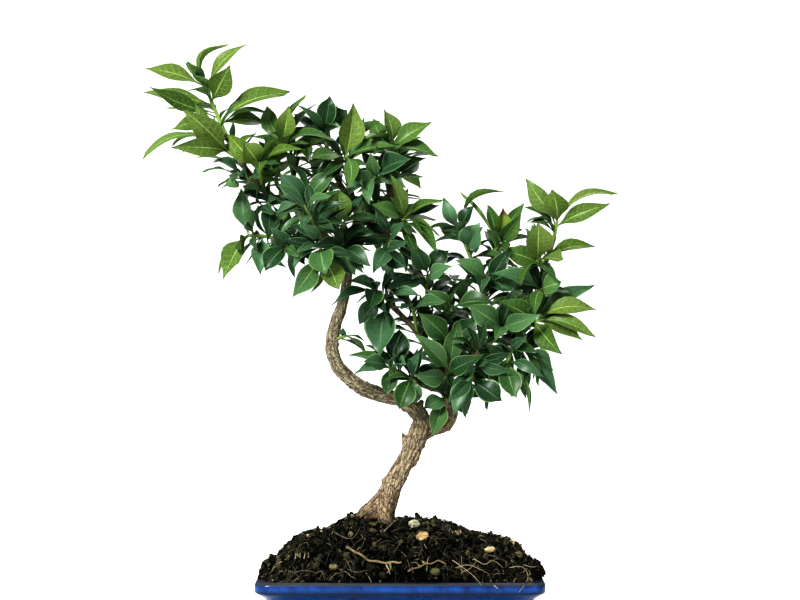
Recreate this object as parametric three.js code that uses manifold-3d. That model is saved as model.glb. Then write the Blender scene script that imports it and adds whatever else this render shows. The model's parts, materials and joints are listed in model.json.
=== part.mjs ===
// A myrtle-leaf orange bonsai in a blue glazed pot. Millimetres, +Z up, seen from -Y in the photograph.
import * as THREE from "three";
import Module from "manifold-3d";

const wasm = await Module();
wasm.setup();
const { Manifold } = wasm;

// Driving dimensions
const POT = { x: 180, y: 130, height: 50, corner: 10, x0: 11.5 };
const FOOT = { x: 26, y: 18, height: 8, inset: 17 };
const DRAIN = { radius: 6, spacing: 84, mesh: 24, thick: 1 };
const GAP = 0.3;
const LEAF = { thick: 1.4, petiole: 0.95, fold: 0.22, arch: 0.12 };
const TWIG = { start: 1.4, end: 1, sides: 4 };
const SOIL_BUMP = 1.3;

// Places are written as they look from the front: across from the pot's middle, up from the table and
// depth behind the pot's middle. EYE is where they are looked at from.
const EYE = { away: 1150, up: 223.8 };

// The pot's wall: how far each step lies inside the rim's outer line, and its height.
const POT_OUTSIDE = [
  [15, 8], [12.2, 12], [9.6, 24], [7.8, 34], [6.4, 38.6], [2.2, 41.8], [0.4, 43], [0, 44.4],
  [0, 48.2], [0.9, 49.6], [2.2, 50],
];
const POT_INSIDE = [
  [5.2, 50], [6.6, 49], [7.4, 46.5], [13, 40], [16, 24], [19, 16], [22, 14],
];

// The soil's ridge line: across, and height over the rim.
const RIDGE = [
  [-84, 0], [-82, 4], [-76, 14.5], [-66, 24], [-56, 29], [-48.7, 31], [-38, 35], [-27.9, 36.4],
  [-3, 35], [16, 34.6], [34, 30.8], [52, 26], [65, 23.6], [72, 20], [79, 14.5], [82.5, 8], [84, 0],
];
const SOIL_RINGS = [1, 0.96, 0.88, 0.76, 0.62, 0.47, 0.3, 0.13];

// Wood that grew as one piece: points of across, up, depth and radius along each limb.
const WOOD = {
  trunk: [
    [-16.4, 58, 0, 13], [-14.8, 74, 0, 12.2], [-12, 86, 0, 9.4], [-8, 96, 0, 7.5], [-3.6, 106, 0, 6.8],
    [1, 114.5, 0, 6.5], [5.8, 122.5, 0, 6.4], [9.4, 131, 0, 6.8], [13.4, 140, -1, 7.2],
    [13.8, 147, -2, 5.9], [8.8, 153.4, -3, 5.3], [0, 159, -4, 5.1], [-10.6, 161.9, -5, 5],
    [-22.8, 165.8, -6, 5], [-33.2, 173.2, -7, 4.7], [-40.8, 181.6, -8, 4.5], [-44.2, 192, -8, 4.3],
    [-43.5, 201.7, -7, 4.2], [-41.1, 210.6, -5, 4], [-37.4, 221, -3, 3.7], [-35.2, 231, 0, 3.4],
    [-34, 242, 2, 3.5], [-36, 252, 4, 3.7],
  ],
  flare_left: [[-9, 97, -1, 6], [-17, 89, -3, 6], [-26, 81, -5, 4.6], [-34, 72, -7, 3]],
  flare_back: [[-10, 96, 2, 6], [-9, 86, 9, 5], [-8, 74, 16, 3.4]],
  flare_front: [[-9, 95, -2, 6], [-10, 85, -10, 4.6], [-6, 74, -17, 3]],
  stub: [[6, 128, 0, 5], [3.2, 133, -2, 3.2], [2.4, 136.2, -3, 2.2]],
  stub_twig: [[2.4, 134, -3, 1.3], [1.8, 138, -4, 0.9]],
  knob: [[8, 119, 0, 4.5], [11.8, 121, -2, 2.4]],
  knob_low: [[-7, 105, 0, 4.5], [-11.6, 107, -3, 2.2]],
  limb_stub: [[12, 153, -3, 3], [14.4, 158.8, -5, 1.5]],
  right: [
    [12, 137, -1, 6], [21.4, 140.4, 0, 5], [29, 143, 1, 4.6], [33.6, 149, 1, 4.2], [32.5, 157.6, 1, 3.9],
    [29.2, 164.7, 0, 3.6], [24.7, 171, 0, 3.2],
  ],
  crown_left: [
    [-36, 252, 4, 3.4], [-48.7, 262.7, 2, 3.1], [-61.7, 274.4, 0, 2.9], [-67.5, 283.5, -2, 2.8],
    [-73, 287.5, -3, 2.6], [-81, 289.5, -5, 2.4], [-91.5, 299, -8, 2.2], [-100.6, 309.5, -10, 2],
    [-107, 321, -11, 1.8], [-114, 332, -12, 1.7],
  ],
  crown_left_up: [[-67.5, 283.5, -2, 2.4], [-70, 300, 3, 2.1], [-66, 317, 6, 1.7]],
  crown_left_low: [[-58, 271, 0, 2.4], [-71, 263, -8, 1.9], [-84, 263, -12, 1.6]],
  crown_front: [[-37, 252, 4, 2.8], [-45, 260, -14, 2.3], [-51, 266, -30, 1.9], [-55, 270, -40, 1.6]],
  crown_back: [[-36, 252, 4, 2.9], [-41, 268, 17, 2.4], [-47, 284, 29, 2], [-53, 297, 38, 1.6]],
  crown_mid: [
    [-35, 250, 4, 3.2], [-22.7, 266, 3, 2.9], [-9.7, 285.5, 3, 2.6], [-3.2, 301.7, 2, 2.2],
    [0, 315, 0, 1.7],
  ],
  crown_up: [[-24, 264, 4, 2.5], [-29, 283, 9, 2.2], [-33, 299, 9, 1.9], [-36, 311, 8, 1.7]],
  crown_up_left: [[-30, 286, 9, 2], [-40, 301, 14, 1.8], [-46, 314, 16, 1.6]],
  crown_right: [[-24, 264, 3, 2.4], [-10, 268, -4, 2.1], [0, 271, -7, 1.7]],
  crown_right_back: [[-10, 285, 3, 2.3], [-5, 290, 17, 2], [-1, 296, 29, 1.6]],
  right_low: [[29, 165, 0, 2.6], [19, 167.5, -8, 2.2], [9, 171, -15, 1.9], [1, 176, -21, 1.6]],
  right_cross: [
    [25, 170, 0, 2.6], [22, 184, 1, 2.3], [13, 200, -3, 2], [2, 213, -6, 1.8], [-7, 221, -8, 1.6],
  ],
  right_up: [[25, 171, 0, 2.8], [27, 188, 7, 2.3], [23, 205, 9, 2], [17, 221, 5, 1.6]],
  right_out: [
    [25, 170, 0, 3], [43.5, 183, -2, 2.8], [61.7, 200.4, -2, 2.6], [77.9, 210.8, -2, 2.3],
    [88.9, 224, -2, 2.1], [92, 240, -2, 1.9], [97, 255, -2, 1.7], [100.5, 266, -2, 1.6],
  ],
  right_mid: [[43, 182, -2, 2.5], [52, 201, 2, 2.2], [54.5, 216, 4, 2], [53, 232, 4, 1.8], [48, 247, 2, 1.6]],
  right_mid_top: [[53, 230, 4, 1.8], [60, 247, 0, 1.6]],
  right_front: [[26, 170, 0, 2.6], [34, 181, -18, 2.2], [44, 186, -33, 1.8], [51, 189, -44, 1.6]],
  right_back: [[26, 171, 0, 2.7], [32, 187, 15, 2.3], [42, 203, 27, 1.9], [50, 216, 36, 1.6]],
  right_out_front: [[60, 198, -2, 2.1], [68, 197, -17, 1.8], [74, 196, -30, 1.6]],
  right_out_back: [[76, 209, -2, 2], [80, 215, 13, 1.8], [82, 221, 25, 1.6]],
};

// The crown's outline from the front, as across and up: the tips of leaves placed by rule stay inside it.
const CROWN = [
  [-156, 370], [-127, 386], [-107, 370], [-104, 359], [-75, 359], [-45, 354], [-10, 346], [16, 334],
  [21, 318], [6, 305], [24, 285], [62, 292], [84, 295], [94, 279], [96, 263], [99, 247], [104, 234],
  [120, 224], [120, 206], [99, 193], [96, 169], [78, 164], [58, 158], [36, 152], [19, 162], [-6, 169],
  [-29, 175], [-25, 195], [-29, 224], [-29, 240], [-52, 234], [-65, 234], [-75, 243], [-97, 245],
  [-112, 245], [-105, 266], [-101, 289], [-112, 298], [-123, 311], [-156, 321], [-157, 347],
];

// Leafy shoots. A twig runs from the wood to its tip. Each leaf drawn from the photograph has its place
// along the twig, its own tip as across, up and depth, its width, the turn of its face (90 looks at the
// eye, 0 and 180 are edge-on, below 0 shows the underside) and, where it differs, how far it arches.
// fill is how many more leaves grow round the twig by rule, and long is their length.
const SHOOTS = [
  { name: "top_left", from: [-112, 329, -12], to: [-127, 364, -14], young: 1, fill: 2, long: 30, leaves: [
    [0.95, -166, 374, -22, 12, 130, 0.06], [1, -110, 389, -14, 13, 20, 0.34],
    [0.85, -97, 391, -20, 11, 50, 0.14], [0.6, -110, 376, -34, 17, 100, 0.06],
    [0.5, -167, 359, -20, 12, 125, 0.03], [0.3, -164, 363, -32, 12, 115, -0.06],
    [0.1, -71, 358, -8, 17, 50, 0.16], [0.15, -153, 348, 0, 9, 165, 0.06], [0.05, -149, 334, -4, 12, 120],
    [0.05, -88, 339, 8, 12, 60],
  ] },
  { name: "left_upper", from: [-104, 315, -10], to: [-126, 329, -22], young: 1, fill: 2, long: 28, leaves: [
    [0.1, -141, 348, -40, 18, 80, 0.06], [1, -168, 315, -24, 11, 150, 0.17],
    [0.15, -149, 323, -34, 13, 125, 0.12], [0.7, -133, 352, -10, 12, 80],
  ] },
  { name: "left_mid", from: [-92, 299.5, -8], to: [-110, 307, -20], young: 0, fill: 2, long: 26, leaves: [
    [0.6, -134, 316, -4, 9, 172, 0.15], [0.5, -122, 315, -28, 11, 150], [0.9, -113, 298, -36, 12, -75],
    [1, -129, 306, -14, 9, 172], [0.2, -119, 297, -16, 9, 172, 0.1],
  ] },
  { name: "left_low", from: [-78, 263, -10], to: [-99, 266, -16], young: 0, fill: 2, long: 26, leaves: [
    [0.95, -115, 237, -24, 14, 120, 0.14], [0.9, -118, 240, -8, 10, 150], [1, -103, 297, -12, 12, 80, 0.05],
    [0.8, -99, 284, -28, 9, -80], [0.4, -91, 240, -28, 12, 95], [0.2, -73, 244, -22, 10, 130],
  ] },
  { name: "left_bend", from: [-80, 289, -5], to: [-90, 283, -17], young: 0, fill: 2, long: 24, leaves: [
    [0.1, -97, 265, -16, 12, 150, 0.42], [0.3, -86, 262, -30, 14, 70],
    [0.2, -75, 268, -34, 10, -70],
  ] },
  { name: "left_drop", from: [-66, 266, -5], to: [-74, 258, -24], young: 0, fill: 2, long: 26, leaves: [
    [1, -88, 243, -34, 14, 100], [0.6, -62, 246, -36, 13, 80], [0.7, -84, 272, -36, 12, 110],
  ] },
  { name: "low_front", from: [-52, 267, -34], to: [-52, 252, -48], young: 0, fill: 2, long: 26, leaves: [
    [1, -70, 226, -54, 14, 80, 0.12], [0.9, -59, 227, -46, 9, 12], [0.5, -69, 244, -34, 11, 140],
    [0.6, -49, 240, -60, 16, 88], [0.95, -40, 230, -50, 15, 85, 0.04],
  ] },
  { name: "centre_round", from: [-36, 250, 4], to: [-38, 275, -14], young: 0, fill: 2, long: 28, leaves: [
    [1, -40, 296, -24, 15, 90, 0.05], [0.95, -12, 276, -30, 11, 35], [0.8, -58, 287, -24, 14, 110],
    [0.5, -57, 268, -26, 12, 125], [0.6, -16, 266, -30, 11, 60],
  ] },
  { name: "low_mid", from: [-40, 255, -4], to: [-37, 257, -28], young: 0, fill: 2, long: 27, leaves: [
    [1, -19, 245, -42, 12, 65], [0.5, -29, 240, -20, 11, 100], [0.9, -57, 258, -46, 13, 110],
  ] },
  { name: "low_right", from: [-4, 269.5, -5], to: [-8, 256, -18], young: 0, fill: 2, long: 26, leaves: [
    [1, 4, 245, -26, 12, 110], [0.9, -18, 241, -30, 12, 60], [0.5, 16, 250, -10, 11, 60],
  ] },
  { name: "over_left", from: [-90, 297.5, -8], to: [-92, 313, -22], young: 1, fill: 2, long: 28, leaves: [
    [1, -102, 326, -34, 15, 95], [0.8, -60, 321, -32, 10, 30, 0.16], [0.9, -112, 332, -26, 15, 70],
    [0.6, -72, 330, -14, 14, 80],
  ] },
  { name: "top_broad", from: [-68, 309, 4], to: [-77, 325, -8], young: 1, fill: 2, long: 30, leaves: [
    [1, -72, 350, -16, 14.5, 92, 0.06], [0.95, -60, 357, 0, 11, 40], [0.8, -41, 326, -26, 11, 35, 0.18],
    [0.9, -86, 350, 4, 12, 80], [0.7, -53, 352, 10, 9, 30], [0.4, -88, 330, -22, 13, 75],
  ] },
  { name: "top_dark", from: [-45, 311, 16], to: [-49, 333, 6], young: 0, fill: 2, long: 30, leaves: [
    [1, -45, 356, 2, 14, 85, 0.05], [0.9, -34, 347, 12, 13, 75], [0.8, -67, 351, 2, 9, 150],
    [0.5, -62, 330, 20, 12, 100],
  ] },
  { name: "top_middle", from: [-35.5, 309, 8], to: [-35, 317, -12], young: 1, fill: 2, long: 32, leaves: [
    [1, -30, 352, -26, 18, 92, 0.07], [0.95, -12, 340, -18, 11, 35, 0.15],
    [0.9, 0, 324, -28, 10, 45, 0.1], [0.8, -60, 315, -26, 11, 140, 0.1], [0.5, -56, 301, -18, 14, 110],
  ] },
  { name: "top_right", from: [-1, 311, 1], to: [-6, 323, -6], young: 1, fill: 2, long: 32, leaves: [
    [1, -11, 348, -10, 12, 125, 0.14], [0.95, 21, 339, -8, 13, 45, 0.16],
    [0.7, 25, 316, -14, 12, 50, 0.14], [0.8, -17, 342, 8, 12, 70], [0.4, 12, 333, 14, 12, 50],
  ] },
  { name: "upper_right", from: [-4, 299, 2], to: [-16, 304, -14], young: 0, fill: 2, long: 30, leaves: [
    [1, 7, 315, -34, 16, 60, 0.08], [0.9, -19, 320, -28, 9, 70], [0.6, -36, 296, -20, 13, 110],
    [0.8, 4, 296, -30, 13, 55], [0.7, 16, 303, -22, 6, 20, 0.04],
  ] },
  { name: "right_shoulder", from: [-6, 269, -5], to: [3, 277, -17], young: 1, fill: 2, long: 28, leaves: [
    [1, -6, 306, -24, 12, 110, 0.12], [1, 29, 288, -22, 12.5, 45, 0.14],
    [0.8, 24, 275, -14, 9, 20, 0.1], [0.6, 26, 264, -26, 11, 32, 0.15], [0.4, 24, 254, -22, 11, 40, 0.22],
    [0.8, -19, 286, -28, 12, 125],
  ] },
  { name: "inner_left", from: [-62, 275, 0], to: [-60, 292, -18], young: 0, fill: 3, long: 29, leaves: [
    [1, -78, 306, -30, 14, 85], [0.8, -43, 307, -20, 13, 70],
  ] },
  { name: "gap_left", from: [17.6, 219, 5], to: [18, 242, -6], young: 0, fill: 2, long: 26, leaves: [
    [1, 8, 261, -12, 13, 85], [1, 32, 256, -10, 12, 70], [0.9, 6, 248, -16, 8, 30],
    [0.7, 35, 246, -18, 11, 40], [0.6, -10, 231, -16, 14, 140, 0.12],
  ] },
  { name: "mid_high", from: [48.5, 245.5, 2], to: [39, 269, 0], young: 0, fill: 2, long: 28, leaves: [
    [1, 28, 291, 2, 10, 75], [1, 49, 286, -6, 11, 60], [0.9, 71, 294, 4, 11, 20, 0.28],
    [0.5, 25, 272, 8, 10, 100], [0.3, 52, 274, -14, 15, 80],
  ] },
  { name: "mid_withered", from: [59, 245, 1], to: [64, 261, -5], young: 1, fill: 2, long: 28, leaves: [
    [1, 79, 280, -20, 11, 105, 0.1], [1, 67, 284, -12, 13, 85], [0.9, 38, 294, 10, 9, 160, 0.05],
    [0.8, 57, 286, 12, 10, 90], [0.7, 81, 287, 10, 9, 60],
  ] },
  { name: "right_top", from: [99.6, 263.5, -2], to: [102, 276, -8], young: 1, fill: 1, long: 30, leaves: [
    [1, 82, 303, -10, 14, 75], [0.95, 99, 296, -26, 16.5, 92, 0.06], [1, 142, 292, -4, 11, 35, 0.22],
    [0.5, 137, 286, -18, 13, 50, 0.14],
  ] },
  { name: "right_upper", from: [93, 244, -2], to: [89, 249, -16], young: 1, fill: 2, long: 28, leaves: [
    [1, 90, 274, -32, 19, 90, 0.05], [0.3, 128, 258, -10, 12, 40, 0.2], [0.8, 106, 249, -32, 14, 60, 0.1],
    [0.6, 66, 256, -20, 13, 100],
  ] },
  { name: "right_rosette", from: [79, 211.5, -2], to: [88, 210, -20], young: 1, fill: 2, long: 29, leaves: [
    [1, 129, 217, -22, 13, 45, 0.2], [0.7, 127, 233, -6, 12, 55, 0.12], [1, 127, 199, -28, 11, 50, 0.16],
    [0.95, 119, 197, -36, 11, 60, 0.1], [0.9, 107, 203, -16, 8, 20], [0.9, 105, 188, -42, 15, 80, 0.1],
    [0.9, 63, 224, -36, 13, 115],
  ] },
  { name: "right_inner", from: [89.5, 226, -2], to: [92, 231, -15], young: 1, fill: 2, long: 27, leaves: [
    [1, 105, 235, -24, 14, 70], [0.8, 99, 239, -2, 12, 90], [0.8, 57, 241, -30, 12, 120],
  ] },
  { name: "right_hang", from: [70, 196.5, -21], to: [83, 190, -33], young: 0, fill: 2, long: 28, leaves: [
    [1, 102, 162, -40, 10, 75, 0.06], [0.95, 99, 177, -46, 11, 60, 0.16], [0.6, 81, 160, -26, 10, 90],
  ] },
  { name: "right_low_round", from: [73.5, 196, -29], to: [69, 181, -38], young: 0, fill: 2, long: 27, leaves: [
    [1, 75, 160, -52, 14, 95], [0.9, 84, 150, -42, 9, 12], [0.8, 73, 160, -30, 11, 120],
    [0.6, 58, 166, -40, 13, 100],
  ] },
  { name: "low_dark", from: [47, 187.5, -38], to: [47, 171, -46], young: 0, fill: 2, long: 27, leaves: [
    [1, 66, 158, -54, 15, 75], [0.9, 56, 152, -44, 9, 30], [0.8, 60, 160, -36, 9, 25],
    [0.6, 35, 149, -54, 15, 85, 0.08], [0.8, 42, 147, -38, 9, 120],
  ] },
  { name: "low_hang", from: [31, 161.5, 0], to: [29, 160, -16], young: 0, fill: 2, long: 24, leaves: [
    [1, 21, 135, -24, 13, 85, 0.08], [0.9, 15, 153, -20, 11, 110], [0.5, 44, 150, -10, 11, 70],
  ] },
  { name: "mid_big", from: [3, 175, -20], to: [-9, 181, -30], young: 0, fill: 1, long: 28, leaves: [
    [0.9, -34, 188, -24, 10, 150], [0.7, -31, 175, -22, 12, 140],
    [1, -24, 184, -42, 12, 120], [0.8, -9, 162, -36, 11, 80], [0.1, 0, 205, -16, 15, 85],
  ] },
  { name: "mid_pale", from: [10, 170.5, -14], to: [7, 173, -29], young: 0, fill: 2, long: 25, leaves: [
    [1, -1, 153, -38, 14, 85], [0.9, 10, 156, -30, 10, 80], [0.8, 13, 190, -38, 9, 50],
  ] },
  { name: "mid_dark", from: [26, 169, -1], to: [33, 178, -27], young: 0, fill: 1, long: 28, leaves: [
    [1, 10, 202, -42, 14, 100, 0.07], [1, 39, 212, -38, 12, 85, 0.05], [0.8, 8, 176, -38, 12, 60],
    [0.8, 55, 188, -40, 13, 70],
  ] },
  { name: "mid_back", from: [26.5, 185, 6], to: [33, 196, -12], young: 0, fill: 2, long: 28, leaves: [
    [1, 12, 216, -24, 15, 95, 0.07], [0.9, 52, 212, -22, 14, 70], [0.6, 44, 196, 6, 13, 80],
  ] },
  { name: "mid_core", from: [24, 202, 9], to: [34, 219, -8], young: 0, fill: 2, long: 28, leaves: [
    [1, 62, 222, -22, 14, 45, 0.1], [0.8, 45, 239, -12, 9, 20], [0.7, 16, 231, -20, 12, 120],
  ] },
  { name: "right_core", from: [54.5, 217, 4], to: [57, 236, -12], young: 0, fill: 2, long: 28, leaves: [
    [1, 36, 250, -22, 13, 110], [0.9, 72, 258, -24, 13, 75], [0.7, 84, 234, -14, 13, 60],
  ] },
  { name: "right_front_core", from: [60, 199, -2], to: [66, 206, -24], young: 0, fill: 2, long: 29, leaves: [
    [1, 44, 221, -36, 15, 100], [0.9, 92, 214, -44, 13, 60], [0.6, 74, 232, -26, 13, 85],
  ] },
  { name: "cross_left", from: [-4, 218.5, -7], to: [-17, 231, -15], young: 0, fill: 1, long: 26, leaves: [
    [1, -20, 218, -32, 13, 85], [0.95, -46, 219, -20, 11, 140, 0.12], [0.6, -27, 208, -14, 13, 100],
    [0.95, -34, 236, -26, 11, 140], [0.3, 14, 226, -26, 10, 30], [0, -13, 187, -32, 21, 92, 0.05],
  ] },
  { name: "cross_right", from: [11, 202.5, -4], to: [7, 222, -14], young: 0, fill: 2, long: 26, leaves: [
    [1, -6, 243, -20, 12, 110], [0.6, 30, 222, -24, 13, 60],
  ] },
  { name: "bend_twig", from: [-42, 197.5, -8], to: [-34, 200.5, -11], young: 0, fill: 0, long: 16, leaves: [
    [1, -22, 189, -16, 8, 35, 0.08], [0.9, -37, 206, -13, 5, 60],
  ] },
  { name: "back_top", from: [-51, 293, 35], to: [-58, 315, 43], young: 1, fill: 7, long: 30, leaves: [] },
  { name: "back_left", from: [-69, 298, 3], to: [-88, 311, 27], young: 1, fill: 7, long: 30, leaves: [] },
  { name: "back_low", from: [-43, 274, 21.5], to: [-66, 270, 38], young: 0, fill: 7, long: 29, leaves: [] },
  { name: "back_right_top", from: [-2.5, 293.5, 24], to: [-3, 318, 35], young: 1, fill: 7, long: 30, leaves: [] },
  { name: "back_right", from: [-7, 287.5, 11], to: [-12, 268, 35], young: 0, fill: 7, long: 28, leaves: [] },
  { name: "front_left", from: [-53, 268, -36], to: [-62, 285, -54], young: 0, fill: 7, long: 27, leaves: [] },
  { name: "back_low_right", from: [45, 208, 30.5], to: [36, 234, 43], young: 0, fill: 7, long: 28, leaves: [] },
  { name: "back_far_right", from: [81.5, 219.5, 22], to: [82, 243, 32], young: 1, fill: 7, long: 29, leaves: [] },
  { name: "back_under", from: [37, 195, 21.5], to: [58, 183, 41], young: 0, fill: 7, long: 28, leaves: [] },
];

// The soil's loose pieces, as they look from the front.
const SURFACE_ROOTS = {
  left: { radius: 1.6, route: [[-35, 63.5], [-29, 60.5], [-21, 55.5], [-12, 53.5], [-4, 53.5], [1, 53.5]] },
  right: { radius: 1.1, route: [[5, 47.5], [13, 51], [20, 53], [26, 54.5], [30, 52]] },
};
const CHIPS = {
  pale: { at: [9, 78.5], size: [9, 6, 3.2], turn: 20 },
  tan: { at: [14.5, 70.5], size: [10.5, 6, 2.6], turn: -25 },
  small: { at: [58, 62], size: [7.5, 4.5, 2.2], turn: -10 },
};
const PEBBLES = { left: { at: [-43, 50.5], size: 3.2 }, right: { at: [23, 47.5], size: 4 } };

const DEG = Math.PI / 180;
const UP = new THREE.Vector3(0, 0, 1);
const TO_EYE = new THREE.Vector3(0, -1, 0);

// Seeded random numbers from 0 to 1, the same in every run.
function randomFrom(seed) {
  let state = seed;
  return () => {
    state = (state * 1664525 + 1013904223) % 4294967296;
    return state / 4294967296;
  };
}

// The real place of a point that is seen at this across and up, at this depth.
function seen([across, up, depth]) {
  const near = (EYE.away + depth) / EYE.away;
  return new THREE.Vector3(POT.x0 + across * near, depth, EYE.up + (up - EYE.up) * near);
}

// Where a real place is seen from the front, as across and up.
function faced(place) {
  const near = (EYE.away + place.y) / EYE.away;
  return [(place.x - POT.x0) / near, EYE.up + (place.z - EYE.up) / near];
}

// Whether a point lies inside an outline: a line to its right meets the outline an odd number of times.
function within(outline, [across, up]) {
  let inside = false;
  outline.forEach(([x0, y0], i) => {
    const [x1, y1] = outline[(i + 1) % outline.length];
    if (y0 > up !== y1 > up && across < x0 + ((x1 - x0) * (up - y0)) / (y1 - y0)) inside = !inside;
  });
  return inside;
}

function solidFrom(points, faces) {
  const mesh = new wasm.Mesh({
    numProp: 3,
    vertProperties: new Float32Array(points.flatMap((p) => [p.x, p.y, p.z])),
    triVerts: new Uint32Array(faces.flat()),
  });
  return new Manifold(mesh);
}

// Faces round rings of equally many points; an end ring of one point is a tip, other ends are closed flat.
function ringFaces(counts) {
  const faces = [];
  const firsts = [];
  counts.reduce((sum, n) => (firsts.push(sum), sum + n), 0);
  const around = Math.max(...counts);
  for (let r = 0; r + 1 < counts.length; r++) {
    for (let i = 0; i < around; i++) {
      const j = (i + 1) % around;
      const [a, b] = [firsts[r], firsts[r + 1]];
      if (counts[r] > 1) faces.push([a + i, a + j, b + (counts[r + 1] > 1 ? j : 0)]);
      if (counts[r + 1] > 1) faces.push([a + (counts[r] > 1 ? i : 0), b + j, b + i]);
    }
  }
  const last = counts.length - 1;
  for (let i = 1; i + 1 < counts[0]; i++) faces.push([0, i + 1, i]);
  for (let i = 1; i + 1 < counts[last]; i++) faces.push([firsts[last], firsts[last] + i, firsts[last] + i + 1]);
  return faces;
}

function loft(rings) {
  return solidFrom(rings.flat(), ringFaces(rings.map((ring) => ring.length)));
}

// Rings square to a line of points, each with its radius, so that a tube follows the line.
function tubeRings(points, radii, sides) {
  const along = (i) => points[Math.min(i + 1, points.length - 1)].clone().sub(points[Math.max(i - 1, 0)]);
  let side = new THREE.Vector3(0.31, 0.95, 0.05);
  return points.map((p, i) => {
    const axis = along(i).normalize();
    side = side.clone().addScaledVector(axis, -side.dot(axis)).normalize();
    const other = axis.clone().cross(side);
    return Array.from({ length: sides }, (_, k) => {
      const angle = (k / sides) * 2 * Math.PI;
      const [u, v] = [radii[i] * Math.cos(angle), radii[i] * Math.sin(angle)];
      return p.clone().addScaledVector(side, u).addScaledVector(other, v);
    });
  });
}

function tube(points, radii, sides) {
  return loft(tubeRings(points, radii, sides));
}

// A blade's sections: one edge, the upper midrib, the other edge and the lower midrib, then its tip.
function bladeRings(leaf, steps, grow) {
  const chord = leaf.tip.clone().sub(leaf.base);
  const side = chord.clone().normalize().cross(leaf.normal);
  const rings = steps.map(([t, share, full]) => {
    const middle = leaf.base.clone().addScaledVector(chord, t);
    middle.addScaledVector(leaf.normal, leaf.arch * chord.length() * 4 * t * (1 - t));
    const half = Math.max((leaf.width * share) / 2, LEAF.petiole / 2) + grow;
    const thick = (LEAF.thick * full) / 2 + grow;
    const lift = LEAF.fold * (leaf.width * share) / 2;
    const edge = (s) => middle.clone().addScaledVector(side, s * half).addScaledVector(leaf.normal, lift);
    return [
      edge(-1),
      middle.clone().addScaledVector(leaf.normal, thick),
      edge(1),
      middle.clone().addScaledVector(leaf.normal, -thick),
    ];
  });
  return [...rings, [leaf.tip.clone().addScaledVector(chord, grow / chord.length())]];
}

// How far along a blade each section stands, and its share of the width and of the thickness: of leaves
// drawn from the photograph, of leaves placed by rule, and of a blade's part that is clear of its twig.
const DRAWN_STEPS = [[0, 0, 0.65], [0.25, 0.8, 1], [0.6, 0.93, 1]];
const FILLED_STEPS = [[0, 0, 0.65], [0.42, 1, 1]];
const OUTER_STEPS = [[0.24, 0.7, 1], [0.58, 0.93, 1]];

// A closed shape kept for the test of what crosses: its triangles, its edges and the ball round it.
function hullOf(rings, owner) {
  const points = rings.flat();
  const faces = ringFaces(rings.map((ring) => ring.length));
  const edges = new Map();
  for (const [a, b, c] of faces) {
    for (const [p, q] of [[a, b], [b, c], [c, a]]) edges.set(Math.min(p, q) * 1000 + Math.max(p, q), [p, q]);
  }
  const centre = points.reduce((sum, p) => sum.add(p), new THREE.Vector3()).divideScalar(points.length);
  return {
    owner,
    centre,
    reach: Math.max(...points.map((p) => p.distanceTo(centre))),
    triangles: faces.map((face) => face.map((i) => points[i])),
    edges: [...edges.values()].map(([p, q]) => [points[p], points[q]]),
  };
}

// Six times the volume of the corner a-b-c-d; its sign says which side of a-b-c the point d is on.
function corner(a, b, c, d) {
  const [ux, uy, uz] = [b.x - a.x, b.y - a.y, b.z - a.z];
  const [vx, vy, vz] = [c.x - a.x, c.y - a.y, c.z - a.z];
  const [wx, wy, wz] = [d.x - a.x, d.y - a.y, d.z - a.z];
  return (uy * vz - uz * vy) * wx + (uz * vx - ux * vz) * wy + (ux * vy - uy * vx) * wz;
}

function pierces([p, q], [a, b, c]) {
  if (corner(a, b, c, p) * corner(a, b, c, q) >= 0) return false;
  const first = corner(p, q, a, b) > 0;
  return first === corner(p, q, b, c) > 0 && first === corner(p, q, c, a) > 0;
}

function crosses(one, other) {
  if (one.centre.distanceTo(other.centre) > one.reach + other.reach) return false;
  return (
    one.edges.some((edge) => other.triangles.some((face) => pierces(edge, face))) ||
    other.edges.some((edge) => one.triangles.some((face) => pierces(edge, face)))
  );
}

// A shoot's short straight twig, read at any share of its length.
function twigOf(shoot) {
  const [from, to] = [seen(shoot.from), seen(shoot.to)];
  const at = (t) => from.clone().lerp(to, t);
  return { at, points: [from, to], radii: [TWIG.start, TWIG.end], axis: to.clone().sub(from).normalize() };
}

// The place along a twig where a leaf grows, clear of the wood at its foot and inside its tip.
function nodeAt(along) {
  return 0.24 + 0.73 * along;
}

function pairs(outer, inner) {
  return outer.flatMap((a) => inner.map((b) => [a, b]));
}

// The tries for a leaf drawn from the photograph: its tip nearer or further, its face turned.
const DRAWN_TRIES = pairs([0, -7, 7, -14, 14, -21, 21], [0, 24, -24]);
// The tries for a leaf placed by rule: round the twig, and off its line.
const FILLED_TRIES = pairs([0, 25, -25, 50, -50, 75, -75, 100], [0, 14, -14]);

function drawnLeaf(twig, [along, across, up, depth, width, turn, arch = LEAF.arch], [deeper, turned]) {
  const base = twig.at(nodeAt(along));
  const tip = seen([across, up, depth + deeper]);
  const chord = tip.clone().sub(base).normalize();
  const facing = TO_EYE.clone().addScaledVector(chord, -TO_EYE.dot(chord)).normalize();
  const beside = facing.clone().cross(chord);
  const angle = (turn + turned) * DEG;
  const normal = facing.multiplyScalar(Math.sin(angle)).addScaledVector(beside, Math.cos(angle));
  return { base, tip, normal, width, arch, steps: DRAWN_STEPS };
}

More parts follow.
